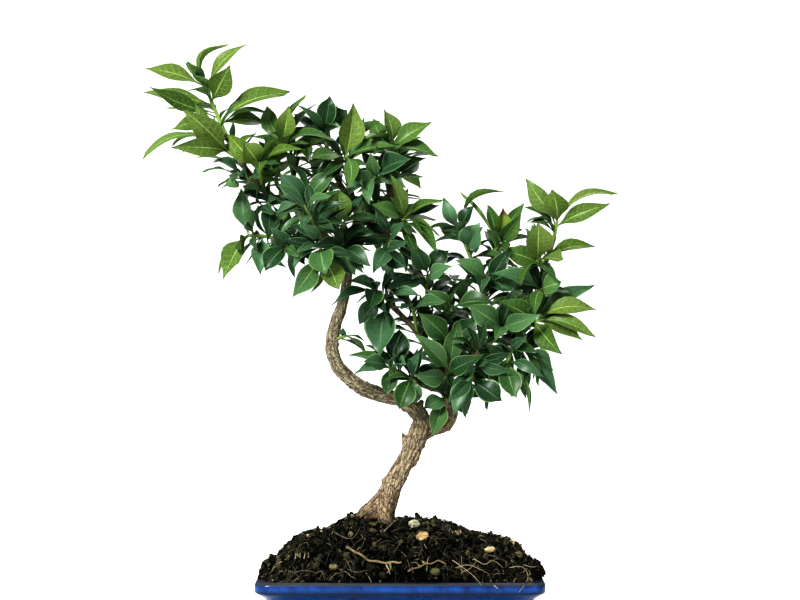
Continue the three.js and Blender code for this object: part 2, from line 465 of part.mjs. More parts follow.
// Leaves by rule stand round the twig a golden angle apart, flatter at its foot and steeper at its tip.
function filledLeaf(twig, shoot, share, draws, [round, lean]) {
  const base = twig.at(nodeAt(share));
  const { axis } = twig;
  const right = axis.clone().cross(Math.abs(axis.z) > 0.94 ? TO_EYE : UP).normalize();
  const top = right.clone().cross(axis);
  const around = (draws.start + draws.index * 137.5 + round) * DEG;
  const off = (78 - 34 * share + 12 * draws.lean + lean) * DEG;
  const out = right.multiplyScalar(Math.cos(around)).addScaledVector(top, Math.sin(around));
  const ahead = axis.clone().multiplyScalar(Math.cos(off)).addScaledVector(out, Math.sin(off));
  ahead.z -= 0.12 + 0.16 * draws.droop;
  ahead.normalize();
  const normal = axis.clone().multiplyScalar(0.7).addScaledVector(UP, 0.6).addScaledVector(TO_EYE, 0.15);
  normal.addScaledVector(out, 0.5 * (draws.tilt - 0.5));
  normal.addScaledVector(ahead, -normal.dot(ahead)).normalize();
  const length = shoot.long * (0.8 + 0.3 * draws.long);
  const tip = base.clone().addScaledVector(ahead, length);
  const width = length * (0.36 + 0.09 * draws.wide);
  return { base, tip, normal, width, arch: 0.07 + 0.09 * draws.arch, steps: FILLED_STEPS };
}

// Leaves are set one after another, the drawn ones first; each takes the first try that is clear of all
// the wood, of other shoots and of its own shoot's outer leaves, and one with no clear try is left out.
function growLeaves(wood) {
  const woods = wood.map((limb) => hullOf(tubeRings(limb.points, limb.radii.map((r) => r + 0.5), 6), "wood"));
  const twigs = SHOOTS.map(twigOf);
  const hulls = SHOOTS.map((shoot, s) => {
    const radii = twigs[s].radii.map((r) => r + 0.45);
    return hullOf(tubeRings(twigs[s].points, radii, 5), shoot.name);
  });
  const outers = [];
  const grown = SHOOTS.map(() => []);
  const left = [];
  const settle = (s, tries, make, what) => {
    for (const attempt of tries) {
      const leaf = make(attempt);
      const owner = SHOOTS[s].name;
      if (leaf.steps === FILLED_STEPS && !within(CROWN, faced(leaf.tip))) continue;
      const hull = hullOf(bladeRings(leaf, leaf.steps, 0.3), owner);
      const outer = hullOf(bladeRings(leaf, OUTER_STEPS, 0.3), owner);
      if (hulls.some((other) => other.owner !== owner && crosses(hull, other))) continue;
      if (woods.some((other) => crosses(outer, other))) continue;
      if (outers.some((other) => other.owner === owner && crosses(outer, other))) continue;
      hulls.push(hull);
      outers.push(outer);
      grown[s].push(leaf);
      return;
    }
    left.push(SHOOTS[s].name + " " + what);
  };
  SHOOTS.forEach((shoot, s) => {
    const make = (drawn) => (attempt) => drawnLeaf(twigs[s], drawn, attempt);
    shoot.leaves.forEach((drawn, i) => settle(s, DRAWN_TRIES, make(drawn), "drawn " + i));
  });
  SHOOTS.forEach((shoot, s) => {
    const random = randomFrom(101 + s * 17);
    const start = 360 * random();
    for (let index = 0; index < shoot.fill; index++) {
      const share = shoot.fill > 1 ? index / (shoot.fill - 1) : 0.5;
      const [lean, droop, tilt, long, wide, arch] = Array.from({ length: 6 }, random);
      const draws = { start, index, lean, droop, tilt, long, wide, arch };
      settle(s, FILLED_TRIES, (t) => filledLeaf(twigs[s], shoot, share, draws, t), "filled " + index);
    }
  });
  return { twigs, grown, left };
}

function woodLimbs() {
  return Object.entries(WOOD).map(([name, points]) => ({
    name,
    points: points.map(([across, up, depth]) => seen([across, up, depth])),
    radii: points.map((p) => p[3]),
  }));
}

// All the wood as one solid, grown by the given amount so that others can be cut clear of it.
function woodSolid(limbs, grow) {
  const sidesOf = (limb) => (limb.name === "trunk" ? 10 : limb.radii[0] > 4 ? 6 : 4);
  return Manifold.union(limbs.map((limb) => tube(limb.points, limb.radii.map((r) => r + grow), sidesOf(limb))));
}

// A rounded rectangle of the pot's plan, this far inside the rim's outer line, at this height.
function planRing(inset, z) {
  const radius = Math.max(POT.corner - 0.35 * inset, 3.5);
  const [hx, hy] = [POT.x / 2 - inset - radius, POT.y / 2 - inset - radius];
  const points = [];
  for (const [quarter, sx, sy] of [[0, 1, 1], [1, -1, 1], [2, -1, -1], [3, 1, -1]]) {
    for (let i = 0; i <= 3; i++) {
      const angle = (quarter + i / 3) * 90 * DEG;
      points.push(
        new THREE.Vector3(POT.x0 + sx * hx + radius * Math.cos(angle), sy * hy + radius * Math.sin(angle), z),
      );
    }
  }
  return points;
}

function potSolid() {
  const shell = loft([...POT_OUTSIDE, ...POT_INSIDE].map(([inset, z]) => planRing(inset, z)));
  const feet = [];
  for (const sx of [-1, 1]) {
    for (const sy of [-1, 1]) {
      const x = POT.x0 + sx * (POT.x / 2 - FOOT.inset - FOOT.x / 2);
      const y = sy * (POT.y / 2 - FOOT.inset - FOOT.y / 2);
      const foot = [[1.5, 0], [0, 1.5], [0, FOOT.height + 1]].map(([inset, z]) => {
        const [hx, hy] = [FOOT.x / 2 - inset, FOOT.y / 2 - inset];
        const outline = [
          [hx, -hy + 3], [hx, hy - 3], [hx - 3, hy], [-hx + 3, hy],
          [-hx, hy - 3], [-hx, -hy + 3], [-hx + 3, -hy], [hx - 3, -hy],
        ];
        return outline.map(([dx, dy]) => new THREE.Vector3(x + dx, y + dy, z));
      });
      feet.push(loft(foot));
    }
  }
  const hole = Manifold.cylinder(20, DRAIN.radius, DRAIN.radius, 16);
  const holes = drainPlaces().map((x) => hole.translate([x, 0, 0]));
  return Manifold.union([shell, ...feet]).subtract(Manifold.union(holes));
}

function drainPlaces() {
  return [-1, 1].map((s) => POT.x0 + (s * DRAIN.spacing) / 2);
}

const FLOOR = POT_INSIDE[POT_INSIDE.length - 1][1];

// A square of drainage mesh over each hole, with four square openings.
function meshSolid(x) {
  const plate = Manifold.cube([DRAIN.mesh, DRAIN.mesh, DRAIN.thick], true);
  const openings = [];
  for (const i of [-1, 1]) {
    for (const j of [-1, 1]) {
      openings.push(Manifold.cube([8, 8, 3], true).translate([i * 5.2, j * 5.2, 0]));
    }
  }
  return plate.subtract(Manifold.union(openings)).translate([x, 0, FLOOR + GAP + DRAIN.thick / 2]);
}

function between(list, x) {
  const i = Math.max(1, list.findIndex(([at]) => at > x));
  if (x <= list[0][0] || x >= list[list.length - 1][0]) return 0;
  const [[x0, y0], [x1, y1]] = [list[i - 1], list[i]];
  return y0 + ((y1 - y0) * (x - x0)) / (x1 - x0);
}

// The mound's height at a place: the ridge line, falling away to the front and the back.
function moundHeight(x, y) {
  const fall = Math.max(0, 1 - Math.pow(Math.abs(y) / 59, 2.3));
  return POT.height - 1 + between(RIDGE, x - POT.x0) * Math.pow(fall, 0.75);
}

// Where the eye's line to this place meets the mound.
function onMound([across, up], over) {
  for (let depth = -POT.y / 2; depth < POT.y / 2; depth += 0.25) {
    const place = seen([across, up, depth]);
    if (place.z <= moundHeight(place.x, place.y) + over) return place;
  }
  throw new Error("no soil at " + across + ", " + up);
}

// A plan ring with more points on its straight sides: two on each long side, one on each short side.
function finerRing(ring) {
  const corners = ring.length / 4;
  return ring.flatMap((p, i) => {
    if (i % corners !== corners - 1) return [p];
    const next = ring[(i + 1) % ring.length];
    const shares = i < corners || (i > 2 * corners && i < 3 * corners) ? [1 / 3, 2 / 3] : [1 / 2];
    return [p, ...shares.map((share) => p.clone().lerp(next, share))];
  });
}

function soilBlock() {
  const random = randomFrom(7);
  const wall = [...POT_INSIDE].reverse();
  const inside = wall.map(([inset, z]) => finerRing(planRing(inset + GAP + 0.15, z + 0.15)));
  inside[0].forEach((p) => (p.z = FLOOR + GAP));
  const rings = inside.slice(0, -2);
  const edge = finerRing(planRing(POT_INSIDE[1][0] + GAP, POT.height - 0.5));
  const middle = new THREE.Vector3(POT.x0 - 8, 0, 0);
  for (const share of SOIL_RINGS) {
    rings.push(edge.map((p) => {
      const q = middle.clone().lerp(p, share);
      const bump = share === 1 ? 0 : SOIL_BUMP * (2 * random() - 1);
      q.z = moundHeight(q.x, q.y) + bump;
      return q;
    }));
  }
  return loft(rings);
}

function surfaceRoot({ radius, route }, grow) {
  const points = route.map((place) => onMound(place, radius * 0.35));
  return tube(points, points.map((_, i) => radius * (1 - 0.09 * i) + grow), 7);
}

// A broken chip of bark: a rough slab with seven corners.
function chip({ at, size, turn }, grow) {
  const place = onMound(at, size[2] * 0.2);
  const corners = 7;
  const ring = (share, z) => Array.from({ length: corners }, (_, i) => {
    const angle = (i / corners) * 2 * Math.PI;
    const rough = 1 + 0.14 * Math.sin(5 * i + size[0]);
    return new THREE.Vector3(
      (size[0] / 2) * share * rough * Math.cos(angle) + grow * Math.cos(angle),
      (size[1] / 2) * share * rough * Math.sin(angle) + grow * Math.sin(angle),
      z,
    );
  });
  const half = size[2] / 2;
  const slab = [ring(0.85, -half - grow), ring(1, -half / 3), ring(0.95, half / 2), ring(0.7, half + grow)];
  const lean = new THREE.Matrix4().makeRotationFromEuler(new THREE.Euler(48 * DEG, turn * DEG, 0));
  return loft(slab.map((r) => r.map((p) => p.applyMatrix4(lean).add(place))));
}

function pebble({ at, size }, grow) {
  const place = onMound(at, size * 0.4);
  const squash = [1.15, 0.95, 0.85];
  return Manifold.sphere(size + grow, 10).scale(squash).translate(place.toArray());
}

const parts = new Map();
const limbs = woodLimbs();
const wood = woodSolid(limbs, 0);
const woodClear = woodSolid(limbs, GAP + 0.1);

parts.set("pot", [potSolid(), "#1f4fa8"]);
drainPlaces().forEach((x, i) => parts.set("drain_mesh_" + ["left", "right"][i], [meshSolid(x), "#3a3a3a"]));
parts.set("trunk", [wood, "#8a7558"]);

let soil = soilBlock().subtract(woodClear);
const clearMesh = Manifold.cube([DRAIN.mesh + 2 * GAP, DRAIN.mesh + 2 * GAP, 2 * (DRAIN.thick + GAP)], true);
for (const x of drainPlaces()) soil = soil.subtract(clearMesh.translate([x, 0, FLOOR + GAP]));
const loose = [
  ...Object.entries(SURFACE_ROOTS).map(([side, root]) => ["surface_root_" + side, surfaceRoot, root, "#b08a60"]),
  ...Object.entries(CHIPS).map(([kind, size]) => ["bark_chip_" + kind, chip, size, "#c8a070"]),
  ...Object.entries(PEBBLES).map(([side, stone]) => ["pebble_" + side, pebble, stone, "#8a8a50"]),
];
for (const [name, make, given, colour] of loose) {
  soil = soil.subtract(make(given, GAP));
  parts.set(name, [make(given, 0), colour]);
}
parts.set("soil", [soil.decompose().sort((a, b) => b.volume() - a.volume())[0], "#1c1712"]);

const { twigs, grown, left } = growLeaves(limbs);
SHOOTS.forEach((shoot, s) => {
  const twig = tube(twigs[s].points, twigs[s].radii, TWIG.sides);
  const blades = grown[s].map((leaf) => loft(bladeRings(leaf, leaf.steps, 0)));
  const whole = Manifold.union([twig, ...blades]).subtract(woodClear);
  const pieces = whole.decompose().sort((a, b) => b.volume() - a.volume());
  if (pieces.length > 1) console.log(shoot.name, pieces.map((p) => p.volume().toFixed(2)).join(" "));
  parts.set("shoot_" + shoot.name, [pieces[0], shoot.young ? "#6f9a2e" : "#2f5c36"]);
});
console.log(grown.flat().length + " leaves; left out: " + left.join(", "));

const bonsai = new THREE.Group();
for (const [name, [solid, colour]] of parts) {
  const { numProp, vertProperties, triVerts } = solid.getMesh();
  const geometry = new THREE.BufferGeometry();
  const places = numProp === 3 ? vertProperties : vertProperties.filter((_, i) => i % numProp < 3);
  geometry.setAttribute("position", new THREE.BufferAttribute(new Float32Array(places), 3));
  geometry.setIndex(new THREE.BufferAttribute(new Uint32Array(triVerts), 1));
  const mesh = new THREE.Mesh(geometry, new THREE.MeshStandardMaterial({ color: colour }));
  mesh.name = name;
  bonsai.add(mesh);
}

export default bonsai;
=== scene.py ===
# %% [markdown]
# # A myrtle-leaf orange bonsai in a blue pot
#
# This lesson dresses a small citrus bonsai that a solid model already describes. The solid model is the
# frame: it says where every piece is and how big it is. Here the wood gets its bark, each leaf its fold,
# midrib and gloss, the pot its glaze and the soil its crumbs and fibres. We work in millimetres in the
# numbers, as a maker would, and turn them into Blender's metres at the last moment.

# %% Load the solid model
import json
import math
import bpy
import bmesh
import numpy as np
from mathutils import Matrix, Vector, noise

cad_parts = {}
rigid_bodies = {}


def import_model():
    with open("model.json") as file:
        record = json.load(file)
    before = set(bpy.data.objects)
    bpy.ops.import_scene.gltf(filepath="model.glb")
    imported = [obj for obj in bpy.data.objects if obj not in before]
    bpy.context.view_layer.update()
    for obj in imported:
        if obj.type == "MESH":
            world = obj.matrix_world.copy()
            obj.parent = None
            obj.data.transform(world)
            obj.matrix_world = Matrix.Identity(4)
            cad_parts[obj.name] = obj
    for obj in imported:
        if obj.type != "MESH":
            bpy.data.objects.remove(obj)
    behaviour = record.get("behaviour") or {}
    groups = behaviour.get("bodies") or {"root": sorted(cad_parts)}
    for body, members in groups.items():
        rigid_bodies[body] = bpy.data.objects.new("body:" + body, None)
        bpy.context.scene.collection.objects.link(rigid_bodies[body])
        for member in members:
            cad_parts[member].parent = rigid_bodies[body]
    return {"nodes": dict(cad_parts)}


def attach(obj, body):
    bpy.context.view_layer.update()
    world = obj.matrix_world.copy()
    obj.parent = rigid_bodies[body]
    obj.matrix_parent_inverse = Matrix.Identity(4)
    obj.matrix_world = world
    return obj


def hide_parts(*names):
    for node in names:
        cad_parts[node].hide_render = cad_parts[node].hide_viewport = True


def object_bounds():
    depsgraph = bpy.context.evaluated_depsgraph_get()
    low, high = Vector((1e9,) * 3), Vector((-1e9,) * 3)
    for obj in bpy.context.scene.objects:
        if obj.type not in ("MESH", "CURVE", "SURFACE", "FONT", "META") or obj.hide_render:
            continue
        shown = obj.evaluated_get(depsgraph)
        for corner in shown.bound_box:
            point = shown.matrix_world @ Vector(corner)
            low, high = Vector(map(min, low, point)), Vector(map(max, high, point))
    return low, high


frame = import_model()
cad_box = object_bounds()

MM = 0.001
scene = bpy.context.scene
print("the solid model has", len(frame["nodes"]), "nodes and stands in the box", cad_box)

# %% [markdown]
# ## Small tools for the whole lesson
#
# An operator acts on everything that is selected, so each step starts by selecting only what it works on.
# A finished piece is tied to the body that it moves with, and the solid that it replaces is hidden. Random
# draws come from one simple seeded rule, so that every run grows the same tree.

# %% Helpers that select, edit and settle
def only(*objects):
    """Selects these objects and nothing else, in object mode."""
    if bpy.context.object and bpy.context.object.mode != "OBJECT":
        bpy.ops.object.mode_set(mode="OBJECT")
    bpy.ops.object.select_all(action="DESELECT")
    for obj in objects:
        obj.select_set(True)
        bpy.context.view_layer.objects.active = obj


def pick(obj, kind="VERT", wanted=None):
    """Opens a piece in edit mode with its wanted points, edges or faces selected, or with all of them."""
    only(obj)
    bpy.ops.object.mode_set(mode="EDIT")
    bpy.ops.mesh.select_mode(type=kind)
    bpy.ops.mesh.select_all(action="DESELECT" if wanted else "SELECT")
    if wanted:
        shape = bmesh.from_edit_mesh(obj.data)
        for part in {"VERT": shape.verts, "EDGE": shape.edges, "FACE": shape.faces}[kind]:
            if wanted(part):
                part.select = True
        bmesh.update_edit_mesh(obj.data)


def merge_doubles(obj, distance):
    pick(obj)
    bpy.ops.mesh.remove_doubles(threshold=distance)


def apply_modifier(obj, kind, **settings):
    only(obj)
    modifier = obj.modifiers.new(kind.lower(), kind)
    for key, value in settings.items():
        setattr(modifier, key, value)
    bpy.ops.object.modifier_apply(modifier=modifier.name)


def melt(obj, voxel, rounds):
    """Melts what overlaps into one even skin of small faces, and smooths it."""
    apply_modifier(obj, "REMESH", mode="VOXEL", voxel_size=voxel * MM)
    apply_modifier(obj, "SMOOTH", factor=0.5, iterations=rounds)


def settle(obj):
    """Puts a piece's place into its mesh, so that its object stands at the origin, unturned."""
    only(obj)
    bpy.ops.object.transform_apply(location=True, rotation=True, scale=True)


def join(objects, name):
    only(*objects)
    if len(objects) > 1:
        bpy.ops.object.join()
    joined = bpy.context.object
    joined.name = name
    joined.data.name = name
    return joined


def finish_piece(obj, material, slot, *replaced, smooth=None):
    """Gives a piece its material, ties it to the tree's one body and hides the solids it stands for."""
    obj.data.materials.clear()
    obj.data.materials.append(material)
    only(obj)
    if smooth is None:
        bpy.ops.object.shade_smooth()
    else:
        bpy.ops.object.shade_smooth_by_angle(angle=math.radians(smooth))
    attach(obj, "root")
    if replaced:
        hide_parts(*replaced)


# %% Helpers that read and set what each point carries
def vectors_of(obj, name="position"):
    flat = np.empty(len(obj.data.vertices) * 3)
    obj.data.attributes[name].data.foreach_get("vector", flat)
    return flat.reshape(-1, 3)


def points_of(obj):
    return vectors_of(obj) / MM


def normals_of(obj):
    flat = np.empty(len(obj.data.vertices) * 3)
    obj.data.vertices.foreach_get("normal", flat)
    return flat.reshape(-1, 3)


def move_points(obj, points):
    obj.data.vertices.foreach_set("co", (np.asarray(points) * MM).astype(np.float32).ravel())
    obj.data.update()


def push_out(obj, push):
    """Moves each point along its normal, by its own number of millimetres."""
    move_points(obj, points_of(obj) + normals_of(obj) * push[:, None])


def number_each_point(obj, name, values):
    values = np.asarray(values, dtype=np.float32)
    kind = "FLOAT" if values.ndim == 1 else "FLOAT_VECTOR"
    layer = obj.data.attributes.get(name) or obj.data.attributes.new(name, kind, "POINT")
    layer.data.foreach_set("value" if values.ndim == 1 else "vector", values.ravel())


def number_whole(obj, **numbers):
    """Gives all points of a piece the same number under each name."""
    for name, number in numbers.items():
        number_each_point(obj, name, np.full(len(obj.data.vertices), number))


def copy_of(obj, points):
    """A copy with a mesh of its own, whose points stand where they are wanted."""
    copy = obj.copy()
    copy.data = obj.data.copy()
    scene.collection.objects.link(copy)
    move_points(copy, points)
    return copy


def random_from(seed):
    state = seed

    def draw():
        nonlocal state
        state = (state * 1664525 + 1013904223) % 4294967296
        return state / 4294967296
    return draw


# %% [markdown]
# ## Where things are seen from
#
# The picture was taken level with the middle of the tree, from a little over a metre. Places are written
# as they look from there: across from the pot's middle, up from the table, and depth behind the pot's
# middle. `seen` turns such a place into a real one, because what is nearer looks larger.

# %% The eye, and places as it sees them
POT_X0 = 11.5
POT_X, POT_Y, POT_HEIGHT = 180.0, 130.0, 50.0
EYE_AWAY, EYE_UP, EYE_LENS = 1150.0, 223.8, 79.74
UP = np.array([0.0, 0.0, 1.0])
TO_EYE = np.array([0.0, -1.0, 0.0])


def seen(place):
    across, up, depth = place
    near = (EYE_AWAY + depth) / EYE_AWAY
    return np.array([POT_X0 + across * near, depth, EYE_UP + (up - EYE_UP) * near])


def faced(place):
    near = (EYE_AWAY + place[1]) / EYE_AWAY
    return (place[0] - POT_X0) / near, EYE_UP + (place[2] - EYE_UP) / near


bpy.ops.object.camera_add(location=(POT_X0 * MM, -EYE_AWAY * MM, EYE_UP * MM),
                          rotation=(math.radians(90), 0, 0))
camera = bpy.context.object
camera.name = "camera"
camera.data.lens = EYE_LENS
camera.data.sensor_width = 36.0
camera.data.clip_start = 0.01
scene.camera = camera
print("the camera looks along +Y from", tuple(round(v, 4) for v in camera.location))

# %% [markdown]
# ## Tools for materials
#
# A natural surface is never one flat colour. Each material here is a small chain of nodes: noise and
# distances make masks from 0 to 1, the masks mix colours, and the same masks drive roughness and bump.
# A few short words keep those chains readable. What goes into a node is a number, a colour, or what comes
# out of another node.

# %% Nodes under short names
class Nodes:
    """The nodes of one material, group or world."""

    def __init__(self, tree):
        self.tree = tree

    def put(self, socket, value):
        if isinstance(value, bpy.types.NodeSocket):
            self.tree.links.new(value, socket)
        elif socket.type == "RGBA":
            socket.default_value = (*value, 1)
        else:
            socket.default_value = value

    def add(self, kind, inputs, output=0, **settings):
        node = self.tree.nodes.new("ShaderNode" + kind)
        for name, value in settings.items():
            setattr(node, name, value)
        for name, value in inputs.items():
            self.put(node.inputs[name], value)
        return node.outputs[output]

    def calc(self, operation, a, b=0.0, clamp=False):
        return self.add("Math", {0: a, 1: b}, operation=operation, use_clamp=clamp)

    def times(self, a, b):
        return self.calc("MULTIPLY", a, b)

    def plus(self, a, b, clamp=False):
        return self.calc("ADD", a, b, clamp)

    def less(self, a, b, clamp=False):
        return self.calc("SUBTRACT", a, b, clamp)

    def mask(self, value, low, high, to_low=0.0, to_high=1.0):
        """A soft step: to_low where the value is at low, to_high where it is at high."""
        numbers = {"Value": value, "From Min": low, "From Max": high, "To Min": to_low, "To Max": to_high}
        return self.add("MapRange", numbers, interpolation_type="SMOOTHSTEP")

    def mix(self, factor, a, b):
        """Colour a where the factor is 0, colour b where it is 1."""
        return self.add("Mix", {0: factor, 6: a, 7: b}, 2, data_type="RGBA", clamp_factor=True)

    def grain(self, place, scale, detail=3.0, rough=0.55):
        return self.add("TexNoise", {"Vector": place, "Scale": scale, "Detail": detail, "Roughness": rough})

    def cells(self, place, scale, feature="F1"):
        return self.add("TexVoronoi", {"Vector": place, "Scale": scale}, feature=feature)

    def stretch(self, place, factors):
        return self.add("Mapping", {"Vector": place, "Scale": factors})

    def part(self, place, letter):
        return self.add("SeparateXYZ", {0: place}, letter)


# %% [markdown]
# ### Two effects that several materials share
#
# Cloudy variation, where a finish is lighter here and darker there, and fine speckle, where dust, pores or
# mineral grains sit in it, are needed by glaze, bark, soil and leaves alike. Each is a node group, built
# once, with its own numbers in every material that uses it.

# %% Node groups for clouding and speckle
def node_group(name, numbers):
    """An empty group: a place and these numbers go in, and one value comes out."""
    tree = bpy.data.node_groups.new(name, "ShaderNodeTree")
    tree.interface.new_socket("Place", in_out="INPUT", socket_type="NodeSocketVector")
    for number, value in numbers.items():
        socket = tree.interface.new_socket(number, in_out="INPUT", socket_type="NodeSocketFloat")
        socket.default_value = value
    tree.interface.new_socket("Value", in_out="OUTPUT", socket_type="NodeSocketFloat")
    return Nodes(tree), tree.nodes.new("NodeGroupInput").outputs, tree.nodes.new("NodeGroupOutput").inputs[0]


group, given, value = node_group("clouding", {"Scale": 40.0, "Contrast": 0.25})
wide = group.grain(given["Place"], given["Scale"], 2.0, 0.5)
fine = group.grain(given["Place"], group.times(given["Scale"], 4.3), 3.0, 0.6)
both = group.plus(group.times(wide, 0.65), group.times(fine, 0.35))
half = group.times(given["Contrast"], 0.5)
group.put(value, group.mask(both, group.less(0.5, half), group.plus(0.5, half)))
clouding = group.tree

group, given, value = node_group("speckle", {"Scale": 900.0, "Size": 0.25, "Share": 0.5})
dots = group.cells(given["Place"], given["Scale"])
dot = group.mask(dots, given["Size"], group.times(given["Size"], 0.55))
region = group.grain(given["Place"], group.times(given["Scale"], 0.21), 2.0)
bare = group.less(1.0, given["Share"])
group.put(value, group.times(dot, group.mask(region, bare, group.plus(bare, 0.06))))
speckle = group.tree
print("node groups:", [tree.name for tree in bpy.data.node_groups])

# %% A material that is being mixed
class Paint(Nodes):
    """A material, with the colour that has been laid so far."""

    def __init__(self, name, colour=None):
        self.material = bpy.data.materials.new(name)
        self.material.use_nodes = True
        self.colour = colour
        super().__init__(self.material.node_tree)

    @property
    def place(self):
        return self.add("TexCoord", {}, "Object")

    def attribute(self, name, output="Fac"):
        return self.add("Attribute", {}, output, attribute_name=name)

    def clouds(self, scale, contrast, place=None):
        numbers = {"Place": place or self.place, "Scale": scale, "Contrast": contrast}
        return self.add("Group", numbers, node_tree=clouding)

    def specks(self, scale, size, share):
        numbers = {"Place": self.place, "Scale": scale, "Size": size, "Share": share}
        return self.add("Group", numbers, node_tree=speckle)

    def tint(self, where, share, colour):
        """Lays another colour over what is there, where a mask says so and as thick as the share."""
        self.colour = self.mix(where if share == 1 else self.times(where, share), self.colour, colour)

    def surface(self, sockets, bumps=None, depth=0.0, strength=1.0):
        """Connects the colour, the shader's other sockets and a relief so many millimetres deep."""
        shader = self.tree.nodes["Principled BSDF"].inputs
        for name, given_value in {"Base Color": self.colour, **sockets}.items():
            self.put(shader[name], given_value)
        if bumps:
            numbers = {"Strength": strength, "Distance": depth * MM, "Height": bumps}
            self.put(shader["Normal"], self.add("Bump", numbers, "Normal"))
        return self.material


# %% [markdown]
# ## A pale floor and soft light
#
# The picture has a plain white ground and soft light that comes from above. The camera sees the world as
# plain white, while the light it gives is strong overhead and weak below, as in a white room with a
# ceiling lamp: that keeps the inside of the crown dark and lets each leaf turn from light to shade. A
# soft lamp on the upper left gives the shine on the leaves and the light side of the trunk. Two weaker
# ones light the right side and the back a little.

# %% Floor and world
FLOOR_SIZE, FLOOR_DEPTH = 3.2, 0.0002
only()
bpy.ops.mesh.primitive_plane_add(size=FLOOR_SIZE, location=(0, 0, -FLOOR_DEPTH))
floor = bpy.context.object
floor.name = "floor"
settle(floor)
floor.data.materials.append(Paint("pale_floor", (0.93, 0.93, 0.93)).surface({"Roughness": 0.9}))

scene.world = bpy.data.worlds.new("white_room")
scene.world.use_nodes = True
room = Nodes(scene.world.node_tree)
upward = room.part(room.add("TexCoord", {}, "Generated"), "Z")
overhead = room.mask(upward, -0.1, 1.0, 0.02, 0.80)
to_camera = room.add("LightPath", {}, "Is Camera Ray")
glow = room.tree.nodes["Background"].inputs
room.put(glow["Strength"], room.add("Mix", {"Factor": to_camera, "A": overhead, "B": 1.0}))
room.put(glow["Color"], (1, 1, 1))
scene.view_settings.view_transform = "Standard"
scene.view_settings.look = "High Contrast"
print("floor of", FLOOR_SIZE, "m under a", scene.world.name)


# %% Lamps
def soft_lamp(name, place, aim, size, power):
    bpy.ops.object.light_add(type="AREA", location=place)
    lamp = bpy.context.object
    lamp.name = name
    lamp.data.shape = "DISK"
    lamp.data.size = size
    lamp.data.energy = power
    lamp.rotation_euler = (Vector(aim) - Vector(place)).to_track_quat("-Z", "Y").to_euler()


CROWN_MIDDLE = (0, 0, 0.25)
soft_lamp("lamp_key", (-0.72, -1.12, 1.00), CROWN_MIDDLE, 0.5, 48)
soft_lamp("lamp_fill", (0.9, -1.1, 0.8), CROWN_MIDDLE, 0.7, 4.5)
soft_lamp("lamp_behind", (0.2, 1.0, 1.5), (0, 0.6, 0), 0.9, 12)

# %% [markdown]
# ## The wood
#
# A tree's wood grew as one piece: the trunk leans out of the soil, forks, and its left limb swings out and
# back in a long bend before it opens into the crown. Each limb is a line of places with a radius at each.
# We lay a curve along each line, let it swell to its radius, turn it into a mesh, and melt all the limbs
# together with a voxel remesh, because real limbs flow into each other and show no seam.

